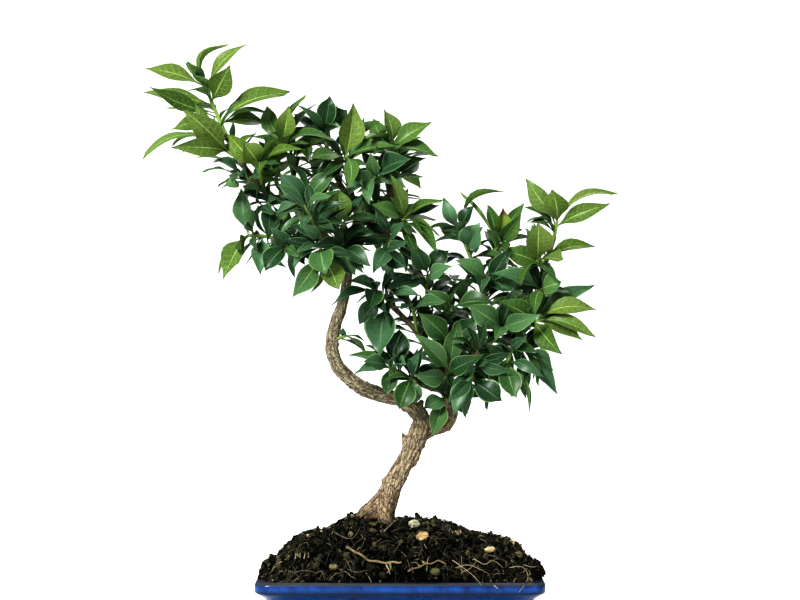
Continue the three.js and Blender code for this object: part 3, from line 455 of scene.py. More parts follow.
# %% The limbs, as across, up, depth and radius
WOOD = {
    "trunk": [
        [-16.4, 58, 0, 13], [-14.8, 74, 0, 12.2], [-12, 86, 0, 9.4], [-8, 96, 0, 7.5], [-3.6, 106, 0, 6.8],
        [1, 114.5, 0, 6.5], [5.8, 122.5, 0, 6.4], [9.4, 131, 0, 6.8], [13.4, 140, -1, 7.2],
        [13.8, 147, -2, 5.9], [8.8, 153.4, -3, 5.3], [0, 159, -4, 5.1], [-10.6, 161.9, -5, 5],
        [-22.8, 165.8, -6, 5], [-33.2, 173.2, -7, 4.7], [-40.8, 181.6, -8, 4.5], [-44.2, 192, -8, 4.3],
        [-43.5, 201.7, -7, 4.2], [-41.1, 210.6, -5, 4], [-37.4, 221, -3, 3.7], [-35.2, 231, 0, 3.4],
        [-34, 242, 2, 3.5], [-36, 252, 4, 3.7],
    ],
    "flare_left": [[-9, 97, -1, 6], [-17, 89, -3, 6], [-26, 81, -5, 4.6], [-34, 72, -7, 3]],
    "flare_back": [[-10, 96, 2, 6], [-9, 86, 9, 5], [-8, 74, 16, 3.4]],
    "flare_front": [[-9, 95, -2, 6], [-10, 85, -10, 4.6], [-6, 74, -17, 3]],
    "stub": [[6, 128, 0, 5], [3.2, 133, -2, 3.2], [2.4, 136.2, -3, 2.2]],
    "stub_twig": [[2.4, 134, -3, 1.3], [1.8, 138, -4, 0.9]],
    "knob": [[8, 119, 0, 4.5], [11.8, 121, -2, 2.4]],
    "knob_low": [[-7, 105, 0, 4.5], [-11.6, 107, -3, 2.2]],
    "limb_stub": [[12, 153, -3, 3], [14.4, 158.8, -5, 1.5]],
    "right": [
        [12, 137, -1, 6], [21.4, 140.4, 0, 5], [29, 143, 1, 4.6], [33.6, 149, 1, 4.2], [32.5, 157.6, 1, 3.9],
        [29.2, 164.7, 0, 3.6], [24.7, 171, 0, 3.2],
    ],
    "crown_left": [
        [-36, 252, 4, 3.4], [-48.7, 262.7, 2, 3.1], [-61.7, 274.4, 0, 2.9], [-67.5, 283.5, -2, 2.8],
        [-73, 287.5, -3, 2.6], [-81, 289.5, -5, 2.4], [-91.5, 299, -8, 2.2], [-100.6, 309.5, -10, 2],
        [-107, 321, -11, 1.8], [-114, 332, -12, 1.7],
    ],
    "crown_left_up": [[-67.5, 283.5, -2, 2.4], [-70, 300, 3, 2.1], [-66, 317, 6, 1.7]],
    "crown_left_low": [[-58, 271, 0, 2.4], [-71, 263, -8, 1.9], [-84, 263, -12, 1.6]],
    "crown_front": [[-37, 252, 4, 2.8], [-45, 260, -14, 2.3], [-51, 266, -30, 1.9], [-55, 270, -40, 1.6]],
    "crown_back": [[-36, 252, 4, 2.9], [-41, 268, 17, 2.4], [-47, 284, 29, 2], [-53, 297, 38, 1.6]],
    "crown_mid": [
        [-35, 250, 4, 3.2], [-22.7, 266, 3, 2.9], [-9.7, 285.5, 3, 2.6], [-3.2, 301.7, 2, 2.2],
        [0, 315, 0, 1.7],
    ],
    "crown_up": [[-24, 264, 4, 2.5], [-29, 283, 9, 2.2], [-33, 299, 9, 1.9], [-36, 311, 8, 1.7]],
    "crown_up_left": [[-30, 286, 9, 2], [-40, 301, 14, 1.8], [-46, 314, 16, 1.6]],
    "crown_right": [[-24, 264, 3, 2.4], [-10, 268, -4, 2.1], [0, 271, -7, 1.7]],
    "crown_right_back": [[-10, 285, 3, 2.3], [-5, 290, 17, 2], [-1, 296, 29, 1.6]],
    "right_low": [[29, 165, 0, 2.6], [19, 167.5, -8, 2.2], [9, 171, -15, 1.9], [1, 176, -21, 1.6]],
    "right_cross": [
        [25, 170, 0, 2.6], [22, 184, 1, 2.3], [13, 200, -3, 2], [2, 213, -6, 1.8], [-7, 221, -8, 1.6],
    ],
    "right_up": [[25, 171, 0, 2.8], [27, 188, 7, 2.3], [23, 205, 9, 2], [17, 221, 5, 1.6]],
    "right_out": [
        [25, 170, 0, 3], [43.5, 183, -2, 2.8], [61.7, 200.4, -2, 2.6], [77.9, 210.8, -2, 2.3],
        [88.9, 224, -2, 2.1], [92, 240, -2, 1.9], [97, 255, -2, 1.7], [100.5, 266, -2, 1.6],
    ],
    "right_mid": [
        [43, 182, -2, 2.5], [52, 201, 2, 2.2], [54.5, 216, 4, 2], [53, 232, 4, 1.8], [48, 247, 2, 1.6],
    ],
    "right_mid_top": [[53, 230, 4, 1.8], [60, 247, 0, 1.6]],
    "right_front": [[26, 170, 0, 2.6], [34, 181, -18, 2.2], [44, 186, -33, 1.8], [51, 189, -44, 1.6]],
    "right_back": [[26, 171, 0, 2.7], [32, 187, 15, 2.3], [42, 203, 27, 1.9], [50, 216, 36, 1.6]],
    "right_out_front": [[60, 198, -2, 2.1], [68, 197, -17, 1.8], [74, 196, -30, 1.6]],
    "right_out_back": [[76, 209, -2, 2], [80, 215, 13, 1.8], [82, 221, 25, 1.6]],
}
print(len(WOOD), "limbs, with", sum(len(rows) for rows in WOOD.values()), "places along them")

# %% Lay a tapering curve along each limb
FINE_STEPS = 4


def smooth_line(rows):
    """A line through all the rows that bends smoothly, as growing wood does."""
    rows = np.array(rows, dtype=float)
    if len(rows) < 3:
        return np.array([rows[0] + (rows[-1] - rows[0]) * t for t in np.linspace(0, 1, FINE_STEPS + 1)])
    padded = np.vstack([2 * rows[0] - rows[1], rows, 2 * rows[-1] - rows[-2]])
    line = []
    for i in range(1, len(padded) - 2):
        a, b, c, d = padded[i - 1:i + 3]
        for t in np.arange(FINE_STEPS) / FINE_STEPS:
            line.append(0.5 * (2 * b + (c - a) * t + (2 * a - 5 * b + 4 * c - d) * t * t
                               + (3 * b - a - 3 * c + d) * t ** 3))
    return np.array(line + [rows[-1]])


def curve_tube(name, line, radii, sides=12):
    """A poly curve through the line, as thick as its radii, turned into a mesh with closed ends."""
    only()
    bpy.ops.curve.primitive_nurbs_path_add()
    obj = bpy.context.object
    obj.name = name
    obj.data.dimensions = "3D"
    spline = obj.data.splines[0]
    spline.type = "POLY"
    if len(line) > len(spline.points):
        spline.points.add(len(line) - len(spline.points))
    for point, place, radius in zip(spline.points, line, radii):
        point.co = (*(place * MM), 1)
        point.radius = radius
    obj.data.bevel_depth = MM
    obj.data.bevel_resolution = sides // 2 - 2
    obj.data.use_fill_caps = True
    only(obj)
    bpy.ops.object.convert(target="MESH")
    return bpy.context.object


SLENDER_TIPS = ("stub", "stub_twig", "knob", "knob_low")
limb_lines = {}
limb_tubes = []
for limb, rows in WOOD.items():
    smooth_rows = smooth_line([[*seen(row[:3]), row[3]] for row in rows])
    smooth_rows[:, 3] *= np.linspace(1, 0.6 if limb in SLENDER_TIPS else 1, len(smooth_rows))
    limb_lines[limb] = (smooth_rows[:, :3], smooth_rows[:, 3])
    limb_tubes.append(curve_tube("limb_" + limb, *limb_lines[limb]))
wood = join(limb_tubes, "bark")
settle(wood)
melt(wood, 0.64, 4)
print("wood of", len(WOOD), "limbs,", len(wood.data.vertices), "points after melting")

# %% [markdown]
# ### Bark
#
# Old citrus bark is tan and cracked low on the trunk, and greyer with fine furrows along the limbs higher
# up. To let a pattern follow the limbs we give each point of the wood its place on its own limb: how far
# along, and how far round. Noise that is stretched along that direction pushes the points in and out, and
# how deep each lies is kept, so that the material can darken the cracks.

# %% Measure each point's place along and round its limb
CRACKED = ("flare_left", "flare_back", "flare_front", "stub", "knob", "knob_low", "right")
SIDEWAYS = np.array([0.31, 0.95, 0.05])
NEAR_LIMB = 18
wood_points = points_of(wood)
along = np.zeros(len(wood_points))
around = np.zeros((len(wood_points), 2))
thickness = np.zeros(len(wood_points))
cracked = np.zeros(len(wood_points), dtype=bool)
nearest = np.full(len(wood_points), 1e9)
for limb, (line, radii) in limb_lines.items():
    side = SIDEWAYS
    walked = 0.0
    for i, step in enumerate(np.diff(line, axis=0)):
        length = np.linalg.norm(step)
        axis = step / length
        side = side - axis * (side @ axis)
        side /= np.linalg.norm(side)
        other = np.cross(axis, side)
        aside = np.abs(wood_points - (line[i] + line[i + 1]) / 2)
        close = np.nonzero((aside < length / 2 + NEAR_LIMB).all(axis=1))[0]
        away = wood_points[close] - line[i]
        t = np.clip(away @ axis / length, 0, 1)
        radius = radii[i] + (radii[i + 1] - radii[i]) * t
        out = away - np.outer(t * length, axis)
        gap = np.linalg.norm(out, axis=1) - radius
        nearer = gap < nearest[close]
        chosen = close[nearer]
        nearest[chosen] = gap[nearer]
        along[chosen] = walked + (t * length)[nearer]
        around[chosen] = np.stack([out @ side, out @ other], axis=1)[nearer]
        thickness[chosen] = radius[nearer]
        cracked[chosen] = limb in CRACKED
        walked += length
straight = np.stack([around[:, 0], around[:, 1], along], axis=1)
print("the thickest wood is", round(float(thickness.max()), 1), "mm in radius")

# %% Cracks, furrows and lumps along the bark
def noise_at(places, size, stretch_along=1.0, shift=0.0):
    """Smooth noise from -1 to 1 whose lumps are about this size, stretched along the limb."""
    scaled = places / np.array([size, size, size * stretch_along]) + shift
    return np.array([noise.noise(Vector(p)) for p in scaled])


def plates_at(places, size, stretch_along):
    """How near each place is to the crack between two plates of bark: 1 in the crack, 0 on a plate."""
    scaled = places / np.array([size, size, size * stretch_along])
    distances = [noise.voronoi(Vector(p))[0] for p in scaled]
    return np.clip(1 - np.array([(d[1] - d[0]) / 0.2 for d in distances]), 0, 1)


coarse = np.clip((thickness - 2.2) / 3.5, 0.0, 1.0)
slanted = straight.copy()
slanted[:, 2] += 0.6 * straight[:, 0] + 0.4 * straight[:, 1]
slanted += 0.8 * np.stack([noise_at(wood_points, 3.0, 1, shift) for shift in (3.1, 8.2, 14.6)], axis=1)
furrow = np.clip(1 - np.abs(noise_at(slanted, 1.7, 4.2, 3.1)) / 0.16, 0, 1)
depth = np.clip(0.75 * plates_at(slanted, 2.7, 3.2) + 0.5 * furrow, 0, 1)
lump = noise_at(straight, 5.5, 1.3, 5.3)
grit = noise_at(wood_points, 1.5, 1.0, 1.9)
print("cracks and furrows reach over", round(float((depth > 0.3).mean()), 2), "of the bark")

# %% Push the bark in and out, with a small knob where each leaf once grew
SCAR_STEP, NEXT_ROUND = 7.5, 137.5
number = np.floor(along / SCAR_STEP)
beside = np.arctan2(around[:, 1], around[:, 0]) - number * math.radians(NEXT_ROUND)
beside = np.abs((beside + math.pi) % (2 * math.pi) - math.pi) * np.maximum(thickness, 1)
before = along - (number + 0.5) * SCAR_STEP
scar = np.exp(-(before / 1.1) ** 2 - (beside / 1.9) ** 2) * np.clip((thickness - 1.2) / 1.5, 0, 1)
push = coarse * (0.85 * lump - 0.6 * depth + 0.2 * grit)
push += (1 - coarse) * (0.2 * lump + 0.08 * grit) + 1.1 * scar
push_out(wood, push)
number_each_point(wood, "crevice", depth * (0.3 + 0.7 * coarse))
number_each_point(wood, "bark_place", straight * MM)
number_each_point(wood, "girth", np.where(cracked, 7.0, thickness))
print("bark pushed from", round(float(push.min()), 2), "to", round(float(push.max()), 2), "mm")

# %% [markdown]
# ### Bark material
#
# The colour goes from warm tan on the old trunk to grey-brown on the young limbs, which is what the girth
# tells us. Cracks are darker and warmer, a little green film sits near the fork, and the foot is browner,
# with dark stains where it meets the soil. Bark scatters light, so it stays rough everywhere.

# %% Paint the bark
bark = Paint("bark")
girth = bark.attribute("girth")
limb_place = bark.attribute("bark_place", "Vector")
strand = bark.clouds(620.0, 0.5, bark.stretch(limb_place, (1, 1, 0.16)))
twig_bark = bark.mix(strand, (0.045, 0.050, 0.020), (0.125, 0.125, 0.055))
young_bark = bark.mix(strand, (0.098, 0.092, 0.055), (0.310, 0.285, 0.190))
old_bark = bark.mix(strand, (0.200, 0.150, 0.088), (0.490, 0.410, 0.280))
bark.colour = bark.mix(bark.mask(girth, 2.2, 3.4), twig_bark, young_bark)
bark.tint(bark.mask(girth, 5.2, 7.2), 1, old_bark)
bark.tint(bark.clouds(75.0, 0.3), 0.4, (0.235, 0.200, 0.145))
height = bark.part(bark.place, "Z")
near_fork = bark.mask(bark.calc("ABSOLUTE", bark.less(height, 0.150)), 0.022, 0.004)
bark.tint(bark.times(bark.clouds(42.0, 0.2), bark.times(near_fork, 0.6)), 0.8, (0.040, 0.050, 0.014))
bark.tint(bark.mask(height, 0.108, 0.082), 0.6, (0.270, 0.180, 0.100))

wander = bark.grain(bark.place, 420.0, 2.0)
steps = {0: wander, 1: (0.0016, 0.0016, 0.006), 2: bark.stretch(limb_place, (1, 1, 0.3))}
plates = bark.cells(bark.add("VectorMath", steps, operation="MULTIPLY_ADD"), 470.0, "DISTANCE_TO_EDGE")
fine_crack = bark.times(bark.mask(plates, 0.17, 0.03), 0.7)
crevice = bark.plus(bark.times(bark.attribute("crevice"), 0.6), fine_crack, clamp=True)
bark.tint(crevice, 0.9, (0.042, 0.026, 0.014))
bark.tint(bark.times(bark.mask(height, 0.096, 0.080), bark.clouds(95.0, 0.16)), 0.8, (0.020, 0.020, 0.010))
pores = bark.specks(1300.0, 0.3, 0.45)
bark.tint(pores, 0.3, (0.040, 0.028, 0.018))
bumps = bark.less(strand, bark.plus(crevice, bark.times(pores, 0.4)))
rough = bark.mask(strand, 0.0, 1.0, 0.92, 0.78)
bark_material = bark.surface({"Roughness": rough, "Specular IOR Level": 0.2}, bumps, 0.6)
finish_piece(wood, bark_material, "live_wood", "trunk")
print("bark on", wood.name, "with", len(wood.data.polygons), "faces")

# %% [markdown]
# ## Where the leaves grow
#
# The crown is made of short green shoots, each with a handful of leaves. The leaves that show in the
# picture are written out: their place along the twig, their tip, width, the turn of the face and how far
# they arch. The rest grow by the rule that a citrus shoot follows: each leaf stands 137.5 degrees round
# from the one before, flatter at the foot and steeper at the tip. The solid model grew them the same way,
# so the rule is repeated here step by step, with its test that no leaf passes through its neighbours.

# %% The shoots and the crown's outline
SHOOT_PARTS = ("name", "start", "end", "young", "fill", "long", "leaves")
SHOOT_ROWS = [
    ("top_left", [-112, 329, -12], [-127, 364, -14], 1, 2, 30, [[0.95, -166, 374, -22, 12, 130, 0.06],
      [1, -110, 389, -14, 13, 20, 0.34], [0.85, -97, 391, -20, 11, 50, 0.14],
      [0.6, -110, 376, -34, 17, 100, 0.06], [0.5, -167, 359, -20, 12, 125, 0.03],
      [0.3, -164, 363, -32, 12, 115, -0.06], [0.1, -71, 358, -8, 17, 50, 0.16],
      [0.15, -153, 348, 0, 9, 165, 0.06], [0.05, -149, 334, -4, 12, 120], [0.05, -88, 339, 8, 12, 60]]),
    ("left_upper", [-104, 315, -10], [-126, 329, -22], 1, 2, 28, [[0.1, -141, 348, -40, 18, 80, 0.06],
      [1, -168, 315, -24, 11, 150, 0.17], [0.15, -149, 323, -34, 13, 125, 0.12],
      [0.7, -133, 352, -10, 12, 80]]),
    ("left_mid", [-92, 299.5, -8], [-110, 307, -20], 0, 2, 26, [[0.6, -134, 316, -4, 9, 172, 0.15],
      [0.5, -122, 315, -28, 11, 150], [0.9, -113, 298, -36, 12, -75], [1, -129, 306, -14, 9, 172],
      [0.2, -119, 297, -16, 9, 172, 0.1]]),
    ("left_low", [-78, 263, -10], [-99, 266, -16], 0, 2, 26, [[0.95, -115, 237, -24, 14, 120, 0.14],
      [0.9, -118, 240, -8, 10, 150], [1, -103, 297, -12, 12, 80, 0.05], [0.8, -99, 284, -28, 9, -80],
      [0.4, -91, 240, -28, 12, 95], [0.2, -73, 244, -22, 10, 130]]),
    ("left_bend", [-80, 289, -5], [-90, 283, -17], 0, 2, 24, [[0.1, -97, 265, -16, 12, 150, 0.42],
      [0.3, -86, 262, -30, 14, 70], [0.2, -75, 268, -34, 10, -70]]),
    ("left_drop", [-66, 266, -5], [-74, 258, -24], 0, 2, 26, [[1, -88, 243, -34, 14, 100],
      [0.6, -62, 246, -36, 13, 80], [0.7, -84, 272, -36, 12, 110]]),
    ("low_front", [-52, 267, -34], [-52, 252, -48], 0, 2, 26, [[1, -70, 226, -54, 14, 80, 0.12],
      [0.9, -59, 227, -46, 9, 12], [0.5, -69, 244, -34, 11, 140], [0.6, -49, 240, -60, 16, 88],
      [0.95, -40, 230, -50, 15, 85, 0.04]]),
    ("centre_round", [-36, 250, 4], [-38, 275, -14], 0, 2, 28, [[1, -40, 296, -24, 15, 90, 0.05],
      [0.95, -12, 276, -30, 11, 35], [0.8, -58, 287, -24, 14, 110], [0.5, -57, 268, -26, 12, 125],
      [0.6, -16, 266, -30, 11, 60]]),
    ("low_mid", [-40, 255, -4], [-37, 257, -28], 0, 2, 27, [[1, -19, 245, -42, 12, 65],
      [0.5, -29, 240, -20, 11, 100], [0.9, -57, 258, -46, 13, 110]]),
    ("low_right", [-4, 269.5, -5], [-8, 256, -18], 0, 2, 26, [[1, 4, 245, -26, 12, 110],
      [0.9, -18, 241, -30, 12, 60], [0.5, 16, 250, -10, 11, 60]]),
    ("over_left", [-90, 297.5, -8], [-92, 313, -22], 1, 2, 28, [[1, -102, 326, -34, 15, 95],
      [0.8, -60, 321, -32, 10, 30, 0.16], [0.9, -112, 332, -26, 15, 70], [0.6, -72, 330, -14, 14, 80]]),
    ("top_broad", [-68, 309, 4], [-77, 325, -8], 1, 2, 30, [[1, -72, 350, -16, 14.5, 92, 0.06],
      [0.95, -60, 357, 0, 11, 40], [0.8, -41, 326, -26, 11, 35, 0.18], [0.9, -86, 350, 4, 12, 80],
      [0.7, -53, 352, 10, 9, 30], [0.4, -88, 330, -22, 13, 75]]),
    ("top_dark", [-45, 311, 16], [-49, 333, 6], 0, 2, 30, [[1, -45, 356, 2, 14, 85, 0.05],
      [0.9, -34, 347, 12, 13, 75], [0.8, -67, 351, 2, 9, 150], [0.5, -62, 330, 20, 12, 100]]),
    ("top_middle", [-35.5, 309, 8], [-35, 317, -12], 1, 2, 32, [[1, -30, 352, -26, 18, 92, 0.07],
      [0.95, -12, 340, -18, 11, 35, 0.15], [0.9, 0, 324, -28, 10, 45, 0.1],
      [0.8, -60, 315, -26, 11, 140, 0.1], [0.5, -56, 301, -18, 14, 110]]),
    ("top_right", [-1, 311, 1], [-6, 323, -6], 1, 2, 32, [[1, -11, 348, -10, 12, 125, 0.14],
      [0.95, 21, 339, -8, 13, 45, 0.16], [0.7, 25, 316, -14, 12, 50, 0.14], [0.8, -17, 342, 8, 12, 70],
      [0.4, 12, 333, 14, 12, 50]]),
    ("upper_right", [-4, 299, 2], [-16, 304, -14], 0, 2, 30, [[1, 7, 315, -34, 16, 60, 0.08],
      [0.9, -19, 320, -28, 9, 70], [0.6, -36, 296, -20, 13, 110], [0.8, 4, 296, -30, 13, 55],
      [0.7, 16, 303, -22, 6, 20, 0.04]]),
    ("right_shoulder", [-6, 269, -5], [3, 277, -17], 1, 2, 28, [[1, -6, 306, -24, 12, 110, 0.12],
      [1, 29, 288, -22, 12.5, 45, 0.14], [0.8, 24, 275, -14, 9, 20, 0.1],
      [0.6, 26, 264, -26, 11, 32, 0.15], [0.4, 24, 254, -22, 11, 40, 0.22], [0.8, -19, 286, -28, 12, 125]]),
    ("inner_left", [-62, 275, 0], [-60, 292, -18], 0, 3, 29, [[1, -78, 306, -30, 14, 85],
      [0.8, -43, 307, -20, 13, 70]]),
    ("gap_left", [17.6, 219, 5], [18, 242, -6], 0, 2, 26, [[1, 8, 261, -12, 13, 85],
      [1, 32, 256, -10, 12, 70], [0.9, 6, 248, -16, 8, 30], [0.7, 35, 246, -18, 11, 40],
      [0.6, -10, 231, -16, 14, 140, 0.12]]),
    ("mid_high", [48.5, 245.5, 2], [39, 269, 0], 0, 2, 28, [[1, 28, 291, 2, 10, 75],
      [1, 49, 286, -6, 11, 60], [0.9, 71, 294, 4, 11, 20, 0.28], [0.5, 25, 272, 8, 10, 100],
      [0.3, 52, 274, -14, 15, 80]]),
    ("mid_withered", [59, 245, 1], [64, 261, -5], 1, 2, 28, [[1, 79, 280, -20, 11, 105, 0.1],
      [1, 67, 284, -12, 13, 85], [0.9, 38, 294, 10, 9, 160, 0.05], [0.8, 57, 286, 12, 10, 90],
      [0.7, 81, 287, 10, 9, 60]]),
    ("right_top", [99.6, 263.5, -2], [102, 276, -8], 1, 1, 30, [[1, 82, 303, -10, 14, 75],
      [0.95, 99, 296, -26, 16.5, 92, 0.06], [1, 142, 292, -4, 11, 35, 0.22],
      [0.5, 137, 286, -18, 13, 50, 0.14]]),
    ("right_upper", [93, 244, -2], [89, 249, -16], 1, 2, 28, [[1, 90, 274, -32, 19, 90, 0.05],
      [0.3, 128, 258, -10, 12, 40, 0.2], [0.8, 106, 249, -32, 14, 60, 0.1], [0.6, 66, 256, -20, 13, 100]]),
    ("right_rosette", [79, 211.5, -2], [88, 210, -20], 1, 2, 29, [[1, 129, 217, -22, 13, 45, 0.2],
      [0.7, 127, 233, -6, 12, 55, 0.12], [1, 127, 199, -28, 11, 50, 0.16],
      [0.95, 119, 197, -36, 11, 60, 0.1], [0.9, 107, 203, -16, 8, 20], [0.9, 105, 188, -42, 15, 80, 0.1],
      [0.9, 63, 224, -36, 13, 115]]),
    ("right_inner", [89.5, 226, -2], [92, 231, -15], 1, 2, 27, [[1, 105, 235, -24, 14, 70],
      [0.8, 99, 239, -2, 12, 90], [0.8, 57, 241, -30, 12, 120]]),
    ("right_hang", [70, 196.5, -21], [83, 190, -33], 0, 2, 28, [[1, 102, 162, -40, 10, 75, 0.06],
      [0.95, 99, 177, -46, 11, 60, 0.16], [0.6, 81, 160, -26, 10, 90]]),
    ("right_low_round", [73.5, 196, -29], [69, 181, -38], 0, 2, 27, [[1, 75, 160, -52, 14, 95],
      [0.9, 84, 150, -42, 9, 12], [0.8, 73, 160, -30, 11, 120], [0.6, 58, 166, -40, 13, 100]]),
    ("low_dark", [47, 187.5, -38], [47, 171, -46], 0, 2, 27, [[1, 66, 158, -54, 15, 75],
      [0.9, 56, 152, -44, 9, 30], [0.8, 60, 160, -36, 9, 25], [0.6, 35, 149, -54, 15, 85, 0.08],
      [0.8, 42, 147, -38, 9, 120]]),
    ("low_hang", [31, 161.5, 0], [29, 160, -16], 0, 2, 24, [[1, 21, 135, -24, 13, 85, 0.08],
      [0.9, 15, 153, -20, 11, 110], [0.5, 44, 150, -10, 11, 70]]),
    ("mid_big", [3, 175, -20], [-9, 181, -30], 0, 1, 28, [[0.9, -34, 188, -24, 10, 150],
      [0.7, -31, 175, -22, 12, 140], [1, -24, 184, -42, 12, 120], [0.8, -9, 162, -36, 11, 80],
      [0.1, 0, 205, -16, 15, 85]]),
    ("mid_pale", [10, 170.5, -14], [7, 173, -29], 0, 2, 25, [[1, -1, 153, -38, 14, 85],
      [0.9, 10, 156, -30, 10, 80], [0.8, 13, 190, -38, 9, 50]]),
    ("mid_dark", [26, 169, -1], [33, 178, -27], 0, 1, 28, [[1, 10, 202, -42, 14, 100, 0.07],
      [1, 39, 212, -38, 12, 85, 0.05], [0.8, 8, 176, -38, 12, 60], [0.8, 55, 188, -40, 13, 70]]),
    ("mid_back", [26.5, 185, 6], [33, 196, -12], 0, 2, 28, [[1, 12, 216, -24, 15, 95, 0.07],
      [0.9, 52, 212, -22, 14, 70], [0.6, 44, 196, 6, 13, 80]]),
    ("mid_core", [24, 202, 9], [34, 219, -8], 0, 2, 28, [[1, 62, 222, -22, 14, 45, 0.1],
      [0.8, 45, 239, -12, 9, 20], [0.7, 16, 231, -20, 12, 120]]),
    ("right_core", [54.5, 217, 4], [57, 236, -12], 0, 2, 28, [[1, 36, 250, -22, 13, 110],
      [0.9, 72, 258, -24, 13, 75], [0.7, 84, 234, -14, 13, 60]]),
    ("right_front_core", [60, 199, -2], [66, 206, -24], 0, 2, 29, [[1, 44, 221, -36, 15, 100],
      [0.9, 92, 214, -44, 13, 60], [0.6, 74, 232, -26, 13, 85]]),
    ("cross_left", [-4, 218.5, -7], [-17, 231, -15], 0, 1, 26, [[1, -20, 218, -32, 13, 85],
      [0.95, -46, 219, -20, 11, 140, 0.12], [0.6, -27, 208, -14, 13, 100], [0.95, -34, 236, -26, 11, 140],
      [0.3, 14, 226, -26, 10, 30], [0, -13, 187, -32, 21, 92, 0.05]]),
    ("cross_right", [11, 202.5, -4], [7, 222, -14], 0, 2, 26, [[1, -6, 243, -20, 12, 110],
      [0.6, 30, 222, -24, 13, 60]]),
    ("bend_twig", [-42, 197.5, -8], [-34, 200.5, -11], 0, 0, 16, [[1, -22, 189, -16, 8, 35, 0.08],
      [0.9, -37, 206, -13, 5, 60]]),
    ("back_top", [-51, 293, 35], [-58, 315, 43], 1, 7, 30, []),
    ("back_left", [-69, 298, 3], [-88, 311, 27], 1, 7, 30, []),
    ("back_low", [-43, 274, 21.5], [-66, 270, 38], 0, 7, 29, []),
    ("back_right_top", [-2.5, 293.5, 24], [-3, 318, 35], 1, 7, 30, []),
    ("back_right", [-7, 287.5, 11], [-12, 268, 35], 0, 7, 28, []),
    ("front_left", [-53, 268, -36], [-62, 285, -54], 0, 7, 27, []),
    ("back_low_right", [45, 208, 30.5], [36, 234, 43], 0, 7, 28, []),
    ("back_far_right", [81.5, 219.5, 22], [82, 243, 32], 1, 7, 29, []),
    ("back_under", [37, 195, 21.5], [58, 183, 41], 0, 7, 28, []),
]
SHOOTS = [dict(zip(SHOOT_PARTS, row)) for row in SHOOT_ROWS]

CROWN = [
    [-156, 370], [-127, 386], [-107, 370], [-104, 359], [-75, 359], [-45, 354], [-10, 346], [16, 334],
    [21, 318], [6, 305], [24, 285], [62, 292], [84, 295], [94, 279], [96, 263], [99, 247], [104, 234],
    [120, 224], [120, 206], [99, 193], [96, 169], [78, 164], [58, 158], [36, 152], [19, 162], [-6, 169],
    [-29, 175], [-25, 195], [-29, 224], [-29, 240], [-52, 234], [-65, 234], [-75, 243], [-97, 245],
    [-112, 245], [-105, 266], [-101, 289], [-112, 298], [-123, 311], [-156, 321], [-157, 347],
]
print(len(SHOOTS), "shoots with", sum(len(shoot["leaves"]) for shoot in SHOOTS), "leaves drawn one by one")

# %% Closed hulls of twigs and leaves
LEAF_THICK, PETIOLE, FOLD, ARCH = 1.4, 0.95, 0.22, 0.12
DRAWN_STEPS = [(0, 0, 0.65), (0.25, 0.8, 1), (0.6, 0.93, 1)]
FILLED_STEPS = [(0, 0, 0.65), (0.42, 1, 1)]
OUTER_STEPS = [(0.24, 0.7, 1), (0.58, 0.93, 1)]


def unit(v):
    return v / np.linalg.norm(v)


def ring_faces(counts):
    """The triangles between rings of so many points each, and over the first and the last."""
    faces, firsts, sides = [], [0], max(counts)
    for n in counts[:-1]:
        firsts.append(firsts[-1] + n)
    for r in range(len(counts) - 1):
        a, b = firsts[r], firsts[r + 1]
        for i in range(sides):
            j = (i + 1) % sides
            if counts[r] > 1:
                faces.append((a + i, a + j, b + (j if counts[r + 1] > 1 else 0)))
            if counts[r + 1] > 1:
                faces.append((a + (i if counts[r] > 1 else 0), b + j, b + i))
    faces += [(0, i + 1, i) for i in range(1, counts[0] - 1)]
    last = firsts[-1]
    return faces + [(last, last + i, last + i + 1) for i in range(1, counts[-1] - 1)]


def tube_rings(points, radii, sides):
    side = SIDEWAYS
    rings = []
    for i, point in enumerate(points):
        axis = unit(points[min(i + 1, len(points) - 1)] - points[max(i - 1, 0)])
        side = unit(side - axis * (side @ axis))
        turns = np.arange(sides) / sides * 2 * math.pi
        round_it = np.outer(np.cos(turns), side) + np.outer(np.sin(turns), np.cross(axis, side))
        rings.append(point + radii[i] * round_it)
    return rings


def blade_rings(leaf, steps, wider):
    chord, up = leaf["tip"] - leaf["base"], leaf["normal"]
    length = np.linalg.norm(chord)
    side = np.cross(chord / length, up)
    rings = []
    for t, share, full in steps:
        middle = leaf["base"] + chord * t + up * (leaf["arch"] * length * 4 * t * (1 - t))
        half = side * (max(leaf["width"] * share / 2, PETIOLE / 2) + wider)
        thick = up * (LEAF_THICK * full / 2 + wider)
        lift = up * (FOLD * leaf["width"] * share / 2)
        rings.append(np.array([middle - half + lift, middle + thick, middle + half + lift, middle - thick]))
    return rings + [np.array([leaf["tip"] + chord * wider / length])]


def hull_of(rings, owner):
    points = np.vstack(rings)
    faces = ring_faces([len(ring) for ring in rings])
    edges = {}
    for a, b, c in faces:
        for p, q in ((a, b), (b, c), (c, a)):
            edges.setdefault((min(p, q), max(p, q)), (p, q))
    centre = points.mean(axis=0)
    reach = np.linalg.norm(points - centre, axis=1).max()
    return {"owner": owner, "centre": centre, "reach": reach,
            "triangles": points[np.array(faces)], "edges": points[np.array(list(edges.values()))]}


# %% The test of what crosses
def corner(a, b, c, d):
    """Six times the volume of the corner a-b-c-d: its sign says on which side of a-b-c the point d is."""
    return np.einsum("...i,...i->...", np.cross(b - a, c - a), d - a)


def any_pierces(edges, triangles):
    p, q = edges[:, None, 0], edges[:, None, 1]
    a, b, c = triangles[None, :, 0], triangles[None, :, 1], triangles[None, :, 2]
    parts = corner(a, b, c, p) * corner(a, b, c, q) < 0
    if not parts.any():
        return False
    first = corner(p, q, a, b) > 0
    return bool((parts & (first == (corner(p, q, b, c) > 0)) & (first == (corner(p, q, c, a) > 0))).any())


